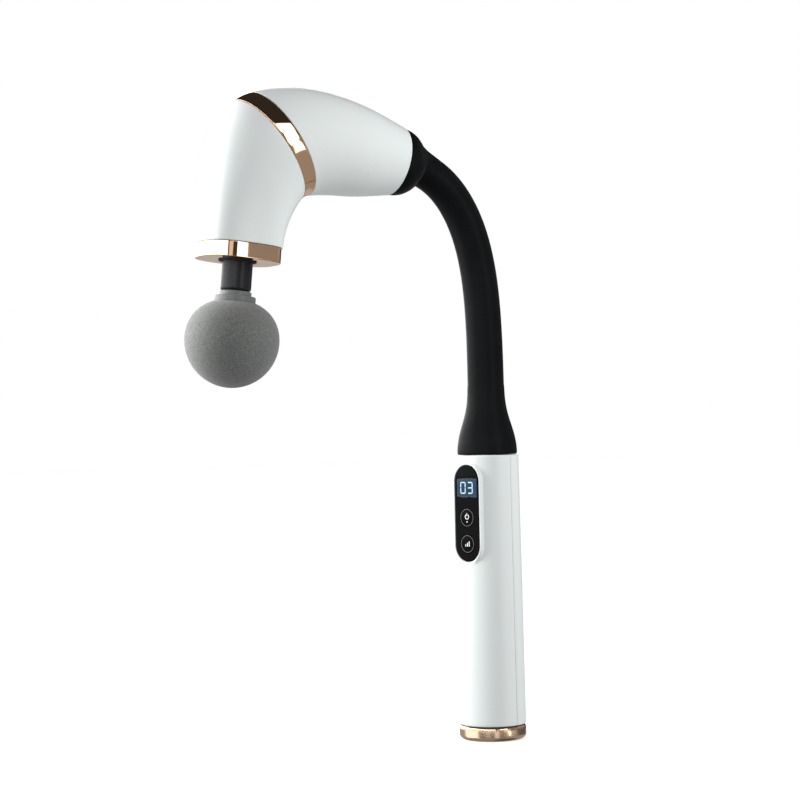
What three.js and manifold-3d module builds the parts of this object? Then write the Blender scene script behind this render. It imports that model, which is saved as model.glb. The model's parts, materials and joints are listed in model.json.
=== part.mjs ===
// Flexible-neck wand massager: a straight battery handle, a silicone-sleeved gooseneck
// and an elbow-shaped drive head with a reciprocating plunger and a soft ball.
// Millimetres, +Z up. The origin is the centre of the base cap's flat face, +Z runs along
// the handle, and the neck bends towards -X in the plane Y = 0.

import * as THREE from 'three';
import { mergeVertices } from 'three/addons/utils/BufferGeometryUtils.js';
import Module from 'manifold-3d';

const wasm = await Module();
wasm.setup();

// ---------------------------------------------------------------- driving dimensions

const GAP = 0.3;                     // clearance left between neighbouring pieces

const HANDLE_TWIST = 15;             // degrees: the panel faces a little past the ball side
const CAP_HEIGHT = 8.1;
const CAP_EDGE_RADIUS = 3.2;
const GASKET_HEIGHT = 0.5;
const PORT_OFFSET = 7.5;             // the charging port sits behind the cap's centre
const HANDLE_TOP = 164.1;
const HANDLE_RADIUS_LOW = 19.4;
const HANDLE_RADIUS_HIGH = 18.0;
const HANDLE_WALL = 2.2;

const PANEL_FACE = 18.3;             // distance of the flat panel face from the handle axis
const PANEL_CENTRE = 130.9;
const PANEL_WIDTH = 18.5;
const PANEL_LENGTH = 55.3;
const BEZEL_RIM = 1.4;
const LENS_THICKNESS = 2.0;
const LEDGE_WIDTH = 1.6;
const DISPLAY_WIDTH = 15.4;
const DISPLAY_HEIGHT = 10.3;
const DISPLAY_CENTRE = 145.6;
const KEY_DIAMETER = 10.9;
const KEY_CENTRES = { key_upper: 128.5, key_lower: 113.4 };
const KEY_THICKNESS = 2.6;
const BOARD_FRONT = 11.7;            // distance of the board's front face from the axis
const BOARD_THICKNESS = 1.6;
const BOARD_LENGTH = 42;
const BOARD_CENTRE = 127;

const CELL_DIAMETER = 18.4;          // 18650 lithium cells, one above the other
const CELL_LENGTH = 65;
const CELL_OFFSET = 4;               // cells sit behind the axis to clear the board
const CELL_BOTTOM = 14;

const NECK_START = 164.4;            // height where the sleeve begins
const NECK_LENGTH = 195.5;           // along the centre line, up to the barrel's rear seam
const NECK_CURL_LENGTH = 183.2;      // the bend is complete after this much of the length
const NECK_BEND = 78.5;                // degrees of bend at rest
const NECK_EASE = 3.83;              // power by which the bend tightens towards the head
const SLEEVE_RADIUS_LOW = 10.7;
const SLEEVE_RADIUS_HIGH = 9.9;
const CORE_RADIUS = 5.5;             // steel gooseneck inside the sleeve
const SOCKET_BALL_RADIUS = 12.2;     // the spherical ends of every neck link
const FIRST_JOINT = 31;              // along the centre line
const LAST_JOINT = 171.5;
const JOINT_COUNT = 8;

const HEAD_WALL = 2.4;
const SEAM_RADIUS = 19.6;            // rear end of the barrel
const BAND_START = 0.464;             // where the trim band lies along the head's outline
const BAND_END = 0.530;

const PLATE_CENTRE = [-157.3, 277.2];  // X and Z of the drive axis at the nose plate
const DRIVE_LEAN = 5.8;              // degrees: the ball end leans away from the handle
const PLATE_HALF_DEPTH = 22.3;
const PLATE_HALF_WIDTH = 19.0;
const PLATE_SQUARENESS = 2.9;
const PLATE_HEIGHT = 8.3;
const NOSE_LIP = 0.5;                // the nose shell stands out this much round the plate

const CRANK_HEIGHT = 62;             // crank centre above the plate along the drive axis
const CRANK_THROW = 4;               // half of the 8 mm stroke
const ROD_LENGTH = 24;
const MOTOR_RADIUS = 17.5;
const MOTOR_START = 14;              // along the motor axis from the drive axis
const MOTOR_LENGTH = 31;

const PLUNGER_RADIUS = 8.4;
const PLUNGER_REACH = 20.4;          // below the plate's centre
const STEM_RADIUS = 4.2;
const STEM_LENGTH = 16;
const BALL_RADIUS = 25.8;
const BALL_FLATTENING = 0.12;        // how much the top of the ball is pressed in
const BALL_DROP = 47.4;              // ball centre below the plate's centre

// ---------------------------------------------------------------- finishes

const FINISH = {
  whiteShell: [0xeef0f0, 0.28, 0.0],
  roseGold: [0xc08f70, 0.12, 1.0],
  satinRose: [0xc39a80, 0.3, 1.0],
  silicone: [0x141516, 0.55, 0.0],
  blackGloss: [0x060607, 0.06, 0.0],
  displayGlass: [0x6f8fb8, 0.2, 0.0],
  keyBlack: [0x0a0a0b, 0.12, 0.0],
  softBlack: [0x101112, 0.4, 0.0],
  greyCollar: [0xb9bcb9, 0.4, 0.0],
  greyFoam: [0x7e807d, 0.95, 0.0],
  steel: [0xb8babd, 0.3, 1.0],
  darkSteel: [0x6c6f73, 0.4, 1.0],
  brass: [0xb5964f, 0.35, 1.0],
  copper: [0xb4673a, 0.35, 1.0],
  circuitGreen: [0x1d5b39, 0.45, 0.0],
  cellSleeve: [0x2b5fa3, 0.4, 0.0],
  innerPlastic: [0x2e3033, 0.6, 0.0],
  blackRubber: [0x1a1a1b, 0.8, 0.0],
};

const massager = new THREE.Group();

function add(parent, name, geometry, finish) {
  const [color, roughness, metalness] = FINISH[finish];
  const material = new THREE.MeshStandardMaterial({ color, roughness, metalness });
  const mesh = new THREE.Mesh(closed(geometry), material);
  mesh.name = name;
  parent.add(mesh);
  return mesh;
}

// ---------------------------------------------------------------- mesh helpers

const radians = THREE.MathUtils.degToRad;

// Six times the signed volume: negative when the faces point inwards.
function signedVolume(geometry) {
  const position = geometry.attributes.position;
  const index = geometry.index;
  const [a, b, c] = [new THREE.Vector3(), new THREE.Vector3(), new THREE.Vector3()];
  let sum = 0;
  for (let i = 0; i < index.count; i += 3) {
    a.fromBufferAttribute(position, index.getX(i));
    b.fromBufferAttribute(position, index.getX(i + 1));
    c.fromBufferAttribute(position, index.getX(i + 2));
    sum += a.dot(b.cross(c));
  }
  return sum;
}

// One watertight indexed mesh with shared vertices and its faces pointing out.
function closed(geometry) {
  const bare = new THREE.BufferGeometry();
  bare.setAttribute('position', geometry.attributes.position.clone());
  bare.setIndex(geometry.index ? geometry.index.clone() : null);
  const merged = mergeVertices(bare, 1e-4);
  const corners = [];
  for (let i = 0; i < merged.index.count; i += 3) {
    const [a, b, c] = [0, 1, 2].map((k) => merged.index.getX(i + k));
    if (a !== b && b !== c && c !== a) corners.push(a, b, c);
  }
  merged.setIndex(corners);
  if (signedVolume(merged) < 0) {
    for (let i = 0; i < corners.length; i += 3) {
      [corners[i + 1], corners[i + 2]] = [corners[i + 2], corners[i + 1]];
    }
    merged.setIndex(corners);
  }
  merged.computeVertexNormals();
  return merged;
}

function toSolid(geometry) {
  const mesh = closed(geometry);
  return new wasm.Manifold(new wasm.Mesh({
    numProp: 3,
    vertProperties: new Float32Array(mesh.attributes.position.array),
    triVerts: new Uint32Array(mesh.index.array),
  }));
}

function toGeometry(solid) {
  const mesh = solid.getMesh();
  const geometry = new THREE.BufferGeometry();
  geometry.setAttribute('position', new THREE.BufferAttribute(mesh.vertProperties, 3));
  geometry.setIndex(new THREE.BufferAttribute(mesh.triVerts, 1));
  return geometry;
}

function join(...geometries) {
  return toGeometry(geometries.map(toSolid).reduce((a, b) => a.add(b)));
}

function cut(base, ...tools) {
  return toGeometry(tools.map(toSolid).reduce((a, b) => a.subtract(b), toSolid(base)));
}

function common(a, b) {
  return toGeometry(toSolid(a).intersect(toSolid(b)));
}

// ---------------------------------------------------------------- shape helpers

// Solid of revolution about +Z. A profile of [radius, height] points either starts and
// ends on the axis or runs round a closed ring section.
function turned(profile, segments = 32) {
  const onAxis = profile[0][0] === 0 && profile.at(-1)[0] === 0;
  const points = (onAxis ? profile : [...profile, profile[0]])
    .map(([r, z]) => new THREE.Vector2(r, z));
  return new THREE.LatheGeometry(points, segments).rotateX(Math.PI / 2);
}

function rod(radius, low, high, segments = 24) {
  return turned([[0, low], [radius, low], [radius, high], [0, high]], segments);
}

function ring(inner, outer, low, high, segments = 32) {
  return turned([[inner, low], [outer, low], [outer, high], [inner, high]], segments);
}

// Turns a shape made along +Z so that it runs along +X.
function alongX(geometry) {
  return geometry.rotateY(Math.PI / 2);
}

function block(x, y, z) {
  const size = [x, y, z].map(([low, high]) => high - low);
  const middle = [x, y, z].map(([low, high]) => (low + high) / 2);
  return new THREE.BoxGeometry(...size).translate(...middle);
}

// [radius, height] points on a sphere centred on the axis, between two radii.
function sphereArc(centre, sphereRadius, fromRadius, toRadius, steps) {
  const from = Math.asin(fromRadius / sphereRadius);
  const to = Math.asin(toRadius / sphereRadius);
  return Array.from({ length: steps + 1 }, (_, i) => {
    const angle = from + ((to - from) * i) / steps;
    return [sphereRadius * Math.sin(angle), centre + sphereRadius * Math.cos(angle)];
  });
}

// Quarter of a circle for a rounded edge, as [radius, height] points.
function edgeArc(centreRadius, centreHeight, radius, startAngle, endAngle, steps = 4) {
  return Array.from({ length: steps + 1 }, (_, i) => {
    const angle = radians(startAngle + ((endAngle - startAngle) * i) / steps);
    return [centreRadius + radius * Math.cos(angle), centreHeight + radius * Math.sin(angle)];
  });
}

// Closed outline with half axes u and v: an ellipse at squareness 2, squarer above it.
function oval(centre, u, v, squareness, count) {
  return Array.from({ length: count }, (_, i) => {
    const angle = (2 * Math.PI * i) / count;
    const [c, s] = [Math.cos(angle), Math.sin(angle)];
    const along = Math.sign(c) * Math.abs(c) ** (2 / squareness);
    const across = Math.sign(s) * Math.abs(s) ** (2 / squareness);
    return centre.clone().addScaledVector(u, along).addScaledVector(v, across);
  });
}

// Skin through a series of outlines. A looped loft joins its last outline to its first;
// an open one is closed by a fan at each end.
function loft(outlines, looped = false) {
  const count = outlines[0].length;
  const positions = outlines.flat().flatMap((p) => p.toArray());
  const corners = [];
  const bands = looped ? outlines.length : outlines.length - 1;
  for (let k = 0; k < bands; k += 1) {
    const [low, high] = [k * count, ((k + 1) % outlines.length) * count];
    for (let i = 0; i < count; i += 1) {
      const j = (i + 1) % count;
      corners.push(low + i, low + j, high + j, low + i, high + j, high + i);
    }
  }
  if (!looped) {
    for (const [outline, start, flip] of [[outlines[0], 0, true],
      [outlines.at(-1), (outlines.length - 1) * count, false]]) {
      const hub = positions.length / 3;
      const centre = outline.reduce((sum, p) => sum.add(p), new THREE.Vector3());
      positions.push(...centre.divideScalar(count).toArray());
      for (let i = 0; i < count; i += 1) {
        const [a, b] = [start + i, start + ((i + 1) % count)];
        corners.push(hub, flip ? b : a, flip ? a : b);
      }
    }
  }
  const geometry = new THREE.BufferGeometry();
  geometry.setAttribute('position', new THREE.Float32BufferAttribute(positions, 3));
  geometry.setIndex(corners);
  return geometry;
}

// ---------------------------------------------------------------- handle

const handle = new THREE.Group();
handle.rotation.z = radians(HANDLE_TWIST);
massager.add(handle);

function handleRadius(z) {
  const share = (z - CAP_HEIGHT) / (HANDLE_TOP - CAP_HEIGHT);
  return HANDLE_RADIUS_LOW + (HANDLE_RADIUS_HIGH - HANDLE_RADIUS_LOW) * share;
}

function stadium(width, length, centre) {
  const r = width / 2;
  const straight = length / 2 - r;
  const shape = new THREE.Shape();
  shape.absarc(0, centre + straight, r, 0, Math.PI, false);
  shape.absarc(0, centre - straight, r, Math.PI, 2 * Math.PI, false);
  shape.closePath();
  return shape;
}

function disc(diameter, centre) {
  const shape = new THREE.Shape();
  shape.absarc(0, centre, diameter / 2, 0, 2 * Math.PI, false);
  return shape;
}

function rectangle(width, height, centre) {
  const shape = new THREE.Shape();
  shape.moveTo(-width / 2, centre - height / 2);
  shape.lineTo(width / 2, centre - height / 2);
  shape.lineTo(width / 2, centre + height / 2);
  shape.lineTo(-width / 2, centre + height / 2);
  shape.closePath();
  return shape;
}

// Prism on the panel side: its outline lies in the panel's plane, and it reaches from
// `back` to `front`, both measured from the handle's axis towards the panel.
function panelPrism(shape, back, front, curveSegments = 10) {
  const geometry = new THREE.ExtrudeGeometry(shape, {
    depth: front - back, bevelEnabled: false, curveSegments,
  });
  const toPanel = new THREE.Matrix4().makeBasis(
    new THREE.Vector3(0, -1, 0), new THREE.Vector3(0, 0, 1), new THREE.Vector3(-1, 0, 0));
  return geometry.applyMatrix4(toPanel).translate(-back, 0, 0);
}

function buildBase() {
  const outer = HANDLE_RADIUS_LOW;
  const inner = outer - HANDLE_WALL;
  const floor = 2.4;
  const cup = turned([
    [0, 0],
    ...edgeArc(outer - CAP_EDGE_RADIUS, CAP_EDGE_RADIUS, CAP_EDGE_RADIUS, -90, 0),
    [outer, CAP_HEIGHT], [inner, CAP_HEIGHT], [inner, floor], [0, floor],
  ], 40);
  const slotWidth = 3.9;
  const slotLength = 9.7;
  const slot = new THREE.ExtrudeGeometry(stadium(slotWidth, slotLength, 0),
    { depth: floor + 2, bevelEnabled: false, curveSegments: 4 })
    .translate(PORT_OFFSET, 0, -1);
  add(handle, 'base_cap', cut(cup, slot), 'satinRose');

  add(handle, 'cap_gasket', ring(inner + GAP, outer - 0.5,
    CAP_HEIGHT + 0.05, CAP_HEIGHT + 0.05 + GASKET_HEIGHT, 32), 'blackRubber');

  // USB-C receptacle standing in the cap's slot, with its tongue, under a small board.
  const portBottom = 0.5;
  const portTop = 9.2;
  const portShell = new THREE.ExtrudeGeometry(
    stadium(slotWidth - 2 * GAP, slotLength - 2 * GAP, 0),
    { depth: portTop - portBottom, bevelEnabled: false, curveSegments: 4 })
    .translate(PORT_OFFSET, 0, portBottom);
  const portMouth = new THREE.ExtrudeGeometry(
    stadium(slotWidth - 2 * GAP - 0.7, slotLength - 2 * GAP - 0.7, 0),
    { depth: 6.5, bevelEnabled: false, curveSegments: 4 })
    .translate(PORT_OFFSET, 0, portBottom - 0.5);
  const tongue = block([PORT_OFFSET - 0.35, PORT_OFFSET + 0.35], [-3.3, 3.3],
    [portBottom + 0.8, portTop - 1]);
  add(handle, 'charge_port', join(cut(portShell, portMouth), tongue), 'steel');
  add(handle, 'charge_board', rod(13, portTop + GAP, portTop + GAP + BOARD_THICKNESS),
    'circuitGreen');
}

function handleTube() {
  const low = CAP_HEIGHT + GASKET_HEIGHT + 0.1;
  const [rLow, rHigh] = [handleRadius(low), handleRadius(HANDLE_TOP)];
  const tube = turned([[rLow - HANDLE_WALL, low], [rLow, low],
    [rHigh, HANDLE_TOP], [rHigh - HANDLE_WALL, HANDLE_TOP]], 48);
  const bossBack = 12.2;
  const bezel = panelPrism(
    stadium(PANEL_WIDTH + 2 * BEZEL_RIM, PANEL_LENGTH + 2 * BEZEL_RIM, PANEL_CENTRE),
    bossBack, PANEL_FACE);
  const ledge = PANEL_FACE - LENS_THICKNESS - GAP;
  const recess = panelPrism(
    stadium(PANEL_WIDTH + 2 * GAP, PANEL_LENGTH + 2 * GAP, PANEL_CENTRE),
    ledge, PANEL_FACE + 2);
  const window = panelPrism(
    stadium(PANEL_WIDTH - 2 * LEDGE_WIDTH, PANEL_LENGTH - 2 * LEDGE_WIDTH, PANEL_CENTRE),
    bossBack - 2, ledge + 1);
  return cut(join(tube, bezel), recess, window);
}

function buildShells() {
  const tube = handleTube();
  const reach = 30;
  const split = GAP / 2;
  const heights = [0, HANDLE_TOP + 10];
  const frontHalf = block([-reach, -split], [-reach, reach], heights);
  const rearHalf = block([split, reach], [-reach, reach], heights);
  add(handle, 'handle_front_shell', common(tube, frontHalf), 'whiteShell');
  add(handle, 'handle_rear_shell', common(tube, rearHalf), 'whiteShell');
}

function buildPanel() {
  const back = PANEL_FACE - LENS_THICKNESS;
  const clear = PANEL_FACE + 1;
  const keyHoles = Object.values(KEY_CENTRES).map(
    (centre) => panelPrism(disc(KEY_DIAMETER + 2 * GAP, centre), back - 1, clear, 16));
  const displayHole = panelPrism(
    rectangle(DISPLAY_WIDTH + 2 * GAP, DISPLAY_HEIGHT + 2 * GAP, DISPLAY_CENTRE),
    back - 1, clear);
  const lens = panelPrism(stadium(PANEL_WIDTH, PANEL_LENGTH, PANEL_CENTRE), back, PANEL_FACE);
  add(handle, 'control_lens', cut(lens, displayHole, ...keyHoles), 'blackGloss');

  const displayDepth = 1.8;
  const displayFace = PANEL_FACE - 0.2;
  add(handle, 'display_module', panelPrism(
    rectangle(DISPLAY_WIDTH, DISPLAY_HEIGHT, DISPLAY_CENTRE),
    displayFace - displayDepth, displayFace), 'displayGlass');

  const boardBack = BOARD_FRONT - BOARD_THICKNESS;
  add(handle, 'main_board',
    panelPrism(rectangle(13.6, BOARD_LENGTH, BOARD_CENTRE), boardBack, BOARD_FRONT),
    'circuitGreen');

  const switchHeight = 2.6;
  for (const [name, centre] of Object.entries(KEY_CENTRES)) {
    const keyBack = PANEL_FACE - KEY_THICKNESS;
    add(handle, name, panelPrism(disc(KEY_DIAMETER, centre), keyBack, PANEL_FACE, 16),
      'keyBlack');
    const switchFront = BOARD_FRONT + GAP + switchHeight;
    const base = panelPrism(rectangle(6, 6, centre), BOARD_FRONT + GAP, switchFront - 0.8);
    const plunger = panelPrism(disc(3.4, centre), switchFront - 1, switchFront, 6);
    add(handle, name.replace('key', 'switch'), join(base, plunger), 'darkSteel');
  }
}

function buildBattery() {
  const radius = CELL_DIAMETER / 2;
  const nub = 2.8;
  const between = 0.8;
  ['cell_lower', 'cell_upper'].forEach((name, i) => {
    const low = CELL_BOTTOM + i * (CELL_LENGTH + between);
    const high = low + CELL_LENGTH - 1;
    const cell = turned([[0, low], [radius - 0.6, low], [radius, low + 0.6],
      [radius, high - 0.8], [radius - 0.8, high], [nub, high],
      [nub, high + 0.9], [0, high + 0.9]], 24);
    add(handle, name, cell.translate(CELL_OFFSET, 0, 0), 'cellSleeve');
  });

  const inside = radius + GAP;
  const outside = inside + 1.3;
  const low = CELL_BOTTOM - 1.7;
  const high = CELL_BOTTOM + 2 * CELL_LENGTH + between + 1.6;
  const trough = turned([[0, low], [outside, low], [outside, high], [0, high]], 24);
  const well = rod(inside, CELL_BOTTOM - GAP, high - 1.3, 24);
  const frontSide = block([-20, 0.8], [-20, 20], [low - 1, high + 1]);
  add(handle, 'battery_cradle', cut(trough, well, frontSide).translate(CELL_OFFSET, 0, 0),
    'innerPlastic');
}

// ---------------------------------------------------------------- neck

// Direction of the centre line, as an angle from +Z towards -X, a distance along it.
function neckAngle(distance) {
  const share = Math.min(Math.max(distance / NECK_CURL_LENGTH, 0), 1);
  return radians(NECK_BEND) * share ** NECK_EASE;
}

// Point on the rest centre line, found by adding up short steps.
function neckPoint(distance) {
  const steps = 400;
  const step = distance / steps;
  const point = new THREE.Vector3(0, 0, NECK_START);
  for (let i = 0; i < steps; i += 1) {
    const angle = neckAngle((i + 0.5) * step);
    point.x -= Math.sin(angle) * step;
    point.z += Math.cos(angle) * step;
  }
  return point;
}

const seam = neckPoint(NECK_LENGTH);
const seamDirection = new THREE.Vector3(
  -Math.sin(radians(NECK_BEND)), 0, Math.cos(radians(NECK_BEND)));
const jointPoints = Array.from({ length: JOINT_COUNT }, (_, i) => {
  const share = i / (JOINT_COUNT - 1);
  return neckPoint(FIRST_JOINT + (LAST_JOINT - FIRST_JOINT) * share);
});
// The last joint sits square behind the seam, so the upper boot is straight.
jointPoints[JOINT_COUNT - 1] = seam.clone()
  .addScaledVector(seamDirection, LAST_JOINT - NECK_LENGTH);

function sleeveRadius(joint) {
  const share = joint / (JOINT_COUNT - 1);
  return SLEEVE_RADIUS_LOW + (SLEEVE_RADIUS_HIGH - SLEEVE_RADIUS_LOW) * share;
}

// Places a piece made along +Z at `start`, pointing towards `end`.
function aim(geometry, start, end) {
  const direction = end.clone().sub(start).normalize();
  const turn = new THREE.Quaternion().setFromUnitVectors(new THREE.Vector3(0, 0, 1), direction);
  return geometry.applyQuaternion(turn).translate(...start.toArray());
}

// Every link has a hollow spherical end at its lower joint and a domed one at its upper
// joint, so neighbours roll over each other without opening a gap.
const BOWL_RADIUS = SOCKET_BALL_RADIUS + GAP;
const SLEEVE_BORE = CORE_RADIUS + GAP;
const SLEEVE_SIDES = 20;
const CORE_SIDES = 12;

function sleeveLink(length, lowRadius, highRadius) {
  return turned([
    ...sphereArc(0, BOWL_RADIUS, SLEEVE_BORE, lowRadius, 2),
    ...sphereArc(length, SOCKET_BALL_RADIUS, highRadius, SLEEVE_BORE, 2),
  ], SLEEVE_SIDES);
}

function coreLink(length) {
  return turned([
    ...sphereArc(0, BOWL_RADIUS, 0, CORE_RADIUS, 2),
    ...sphereArc(length, SOCKET_BALL_RADIUS, CORE_RADIUS, 0, 2),
  ], CORE_SIDES);
}

function buildNeckLinks() {
  for (let i = 0; i < JOINT_COUNT - 1; i += 1) {
    const [start, end] = [jointPoints[i], jointPoints[i + 1]];
    const length = start.distanceTo(end);
    const number = i + 1;
    add(massager, `neck_sleeve_${number}`,
      aim(sleeveLink(length, sleeveRadius(i), sleeveRadius(i + 1)), start, end), 'silicone');
    add(massager, `neck_core_${number}`, aim(coreLink(length), start, end), 'steel');
  }
}

function buildNeckFoot() {
  const first = jointPoints[0].z;
  const boot = turned([
    [9.4, 160.5], [15.2, 160.5], [15.2, HANDLE_TOP + GAP], [16.5, HANDLE_TOP + GAP],
    [17.3, HANDLE_TOP + 1.1], [17.3, 167.2], [17.0, 170.5], [16.2, 175], [14.6, 181.5],
    [12.6, 188.5], [11.3, 195],
    ...sphereArc(first, SOCKET_BALL_RADIUS, SLEEVE_RADIUS_LOW, SLEEVE_BORE, 2),
    [SLEEVE_BORE, HANDLE_TOP + 1.5], [9.4, HANDLE_TOP + 1.5],
  ], 28);
  add(massager, 'neck_boot_lower', boot, 'silicone');

  const footBottom = 150.5;
  add(massager, 'neck_core_foot', turned([
    [0, footBottom], [CORE_RADIUS, footBottom],
    ...sphereArc(first, SOCKET_BALL_RADIUS, CORE_RADIUS, 0, 2),
  ], CORE_SIDES), 'steel');

  const bore = SLEEVE_BORE;
  const wall = 9;
  const socket = turned([
    [bore, 148.6], [13.2, 148.6], [13.2, 152.2], [wall, 152.2],
    [wall, HANDLE_TOP + 1.1], [bore, HANDLE_TOP + 1.1],
  ], 24);
  const screwHeight = 155;
  const screwHole = alongX(rod(1.8, -20, 20, 12)).rotateZ(Math.PI / 2)
    .translate(0, 0, screwHeight);
  add(handle, 'neck_socket_lower', cut(socket, screwHole), 'darkSteel');
  for (const [name, side] of [['clamp_screw_left', 1], ['clamp_screw_right', -1]]) {
    const shank = rod(1.5, bore + GAP, 10, 12);
    const head = rod(2.8, 9.6, 11.6, 12);
    const screw = alongX(join(shank, head)).rotateZ((side * Math.PI) / 2);
    add(handle, name, screw.translate(0, 0, screwHeight), 'darkSteel');
  }
}

function buildNeckTop() {
  const last = jointPoints.at(-1);
  const length = last.distanceTo(seam);
  const radius = sleeveRadius(JOINT_COUNT - 1);
  const plug = 9;
  const boot = turned([
    ...sphereArc(0, BOWL_RADIUS, SLEEVE_BORE, radius, 2),
    [12.2, length - 13.6], [14.9, length - 11.2], [17.4, length - 7.6],
    [18.8, length - 4], [19.3, length - GAP], [16.4, length - GAP],
    [16.4, length + plug], [9.4, length + plug], [9.4, length - 2], [SLEEVE_BORE, length - 2],
  ], 32);
  add(massager, 'neck_boot_upper', aim(boot, last, seam), 'silicone');

  const tipLength = 16;
  add(massager, 'neck_core_tip', aim(turned([
    ...sphereArc(0, BOWL_RADIUS, 0, CORE_RADIUS, 2),
    [CORE_RADIUS, length + tipLength], [0, length + tipLength],
  ], CORE_SIDES), last, seam), 'steel');

  add(massager, 'neck_socket_upper', aim(turned([
    [SLEEVE_BORE, length - 1.6], [9, length - 1.6], [9, length + plug + 0.6],
    [15.2, length + plug + 0.6], [15.2, length + plug + 3.4], [SLEEVE_BORE, length + plug + 3.4],
  ], 24), last, seam), 'darkSteel');
}

// ---------------------------------------------------------------- head shells

// The head is one skin from the seam to the nose. Its outer and inner edges lie in the
// plane Y = 0, each pair of edge points spans a cross-section, and the third curve gives
// that section's half width and squareness.
const vectors = (list) => list.map(([a, b]) => new THREE.Vector2(a, b));

// X and Z of the barrel's rear rim, above (1) or below (-1) the neck's centre line.
function seamRim(side) {
  return [seam.x + side * SEAM_RADIUS * seamDirection.z,
    seam.z - side * SEAM_RADIUS * seamDirection.x];
}

// X and Z of a point given along and above the nose plate, from the plate's centre.
function onPlate(along, above) {
  const [c, s] = [Math.cos(radians(DRIVE_LEAN)), Math.sin(radians(DRIVE_LEAN))];
  return [PLATE_CENTRE[0] + along * c + above * s, PLATE_CENTRE[1] - along * s + above * c];
}

const OUTER_EDGE = new THREE.SplineCurve(vectors([
  seamRim(1), [-86, 363.8], [-124, 369.8], [-156.6, 363],
  [-172, 341.5], [-177, 315], onPlate(-PLATE_HALF_DEPTH - NOSE_LIP, PLATE_HEIGHT / 2 + GAP),
]));
const INNER_EDGE = new THREE.SplineCurve(vectors([
  seamRim(-1), [-84, 310.9], [-102, 311.2], [-118.2, 309],
  [-127, 298.5], [-132, 288], onPlate(PLATE_HALF_DEPTH + NOSE_LIP, PLATE_HEIGHT / 2 + GAP),
]));
const SECTION = new THREE.SplineCurve(vectors([
  [SEAM_RADIUS, 2], [26, 2], [29.5, 2], [30, 2.05], [26.5, 2.2], [22.6, 2.5],
  [PLATE_HALF_WIDTH + NOSE_LIP, PLATE_SQUARENESS],
]));

function headOutline(share, inset = 0, count = 32) {
  const [outer, inner] = [OUTER_EDGE.getPoint(share), INNER_EDGE.getPoint(share)];
  const section = SECTION.getPoint(share);
  const centre = new THREE.Vector3((outer.x + inner.x) / 2, 0, (outer.y + inner.y) / 2);
  const half = new THREE.Vector3((outer.x - inner.x) / 2, 0, (outer.y - inner.y) / 2);
  half.setLength(half.length() - inset);
  const side = new THREE.Vector3(0, section.x - inset, 0);
  return oval(centre, half, side, section.y, count);
}

// Tube of skin between two shares of the head's length, open at both ends.
function headTube(from, to, steps, inset, wall) {
  const shares = Array.from({ length: steps + 1 }, (_, i) => from + ((to - from) * i) / steps);
  const outside = shares.map((share) => headOutline(share, inset));
  const inside = shares.toReversed().map((share) => headOutline(share, inset + wall));
  return loft([...outside, ...inside], true);
}

function buildHeadShells() {
  const step = 0.004;
  add(massager, 'barrel_shell', headTube(0, BAND_START - step, 6, 0, HEAD_WALL), 'whiteShell');
  add(massager, 'trim_band', headTube(BAND_START, BAND_END, 1, 0, HEAD_WALL), 'roseGold');
  add(massager, 'nose_shell', headTube(BAND_END + step, 1, 7, 0, HEAD_WALL), 'whiteShell');
}

// ---------------------------------------------------------------- drive

// Local frame: +Z up the drive axis from the plate's centre, +X along the motor.
const drive = new THREE.Group();
drive.position.set(PLATE_CENTRE[0], 0, PLATE_CENTRE[1]);
drive.rotation.y = radians(DRIVE_LEAN);
massager.add(drive);

function plateOutline(height, inset) {
  return oval(new THREE.Vector3(0, 0, height),
    new THREE.Vector3(PLATE_HALF_DEPTH - inset, 0, 0),
    new THREE.Vector3(0, PLATE_HALF_WIDTH - inset, 0), PLATE_SQUARENESS, 32);
}

function buildPlate() {
  const [low, high] = [-PLATE_HEIGHT / 2, PLATE_HEIGHT / 2];
  const body = loft([plateOutline(low, 1.2), plateOutline(low + 0.35, 0.35),
    plateOutline(low + 1.2, 0), plateOutline(high, 0)]);
  const pocket = loft([plateOutline(low + 3, 2), plateOutline(high + 1, 2)]);
  const sealRadius = 10.4;
  const hole = rod(sealRadius + GAP, low - 1, low + 4, 32);
  add(drive, 'nose_plate', cut(body, pocket, hole), 'roseGold');
  add(drive, 'plunger_seal',
    ring(PLUNGER_RADIUS + GAP, sealRadius, low - 0.4, low + 2.6, 32), 'blackRubber');
}

const CENTRE_LOW = CRANK_HEIGHT - CRANK_THROW;          // crank pin at bottom dead centre
const WRIST_HEIGHT = CENTRE_LOW - ROD_LENGTH;

function buildPlunger() {
  const bottom = -PLUNGER_REACH;
  const top = WRIST_HEIGHT + 5.5;
  const body = turned([
    [0, bottom + STEM_LENGTH + 1], [STEM_RADIUS + GAP, bottom + STEM_LENGTH + 1],
    [STEM_RADIUS + GAP, bottom], [PLUNGER_RADIUS - 1, bottom],
    [PLUNGER_RADIUS - 0.3, bottom + 0.3], [PLUNGER_RADIUS, bottom + 1],
    [PLUNGER_RADIUS, top], [0, top],
  ], 28);
  const slotFloor = WRIST_HEIGHT - 2 * CRANK_THROW - 5.2;
  const slot = block([-3.3, 3.3], [-10, 10], [slotFloor, top + 1]);
  const pinRadius = 2.2;
  const stubs = [[-7, -3], [3, 7]].map(
    ([low, high]) => alongX(rod(pinRadius, low, high, 12)).translate(0, 0, WRIST_HEIGHT));
  add(drive, 'plunger', join(cut(body, slot), ...stubs), 'softBlack');
  add(drive, 'guide_bushing',
    ring(PLUNGER_RADIUS + GAP, 11, 6, 27, 28), 'brass');
}

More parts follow.
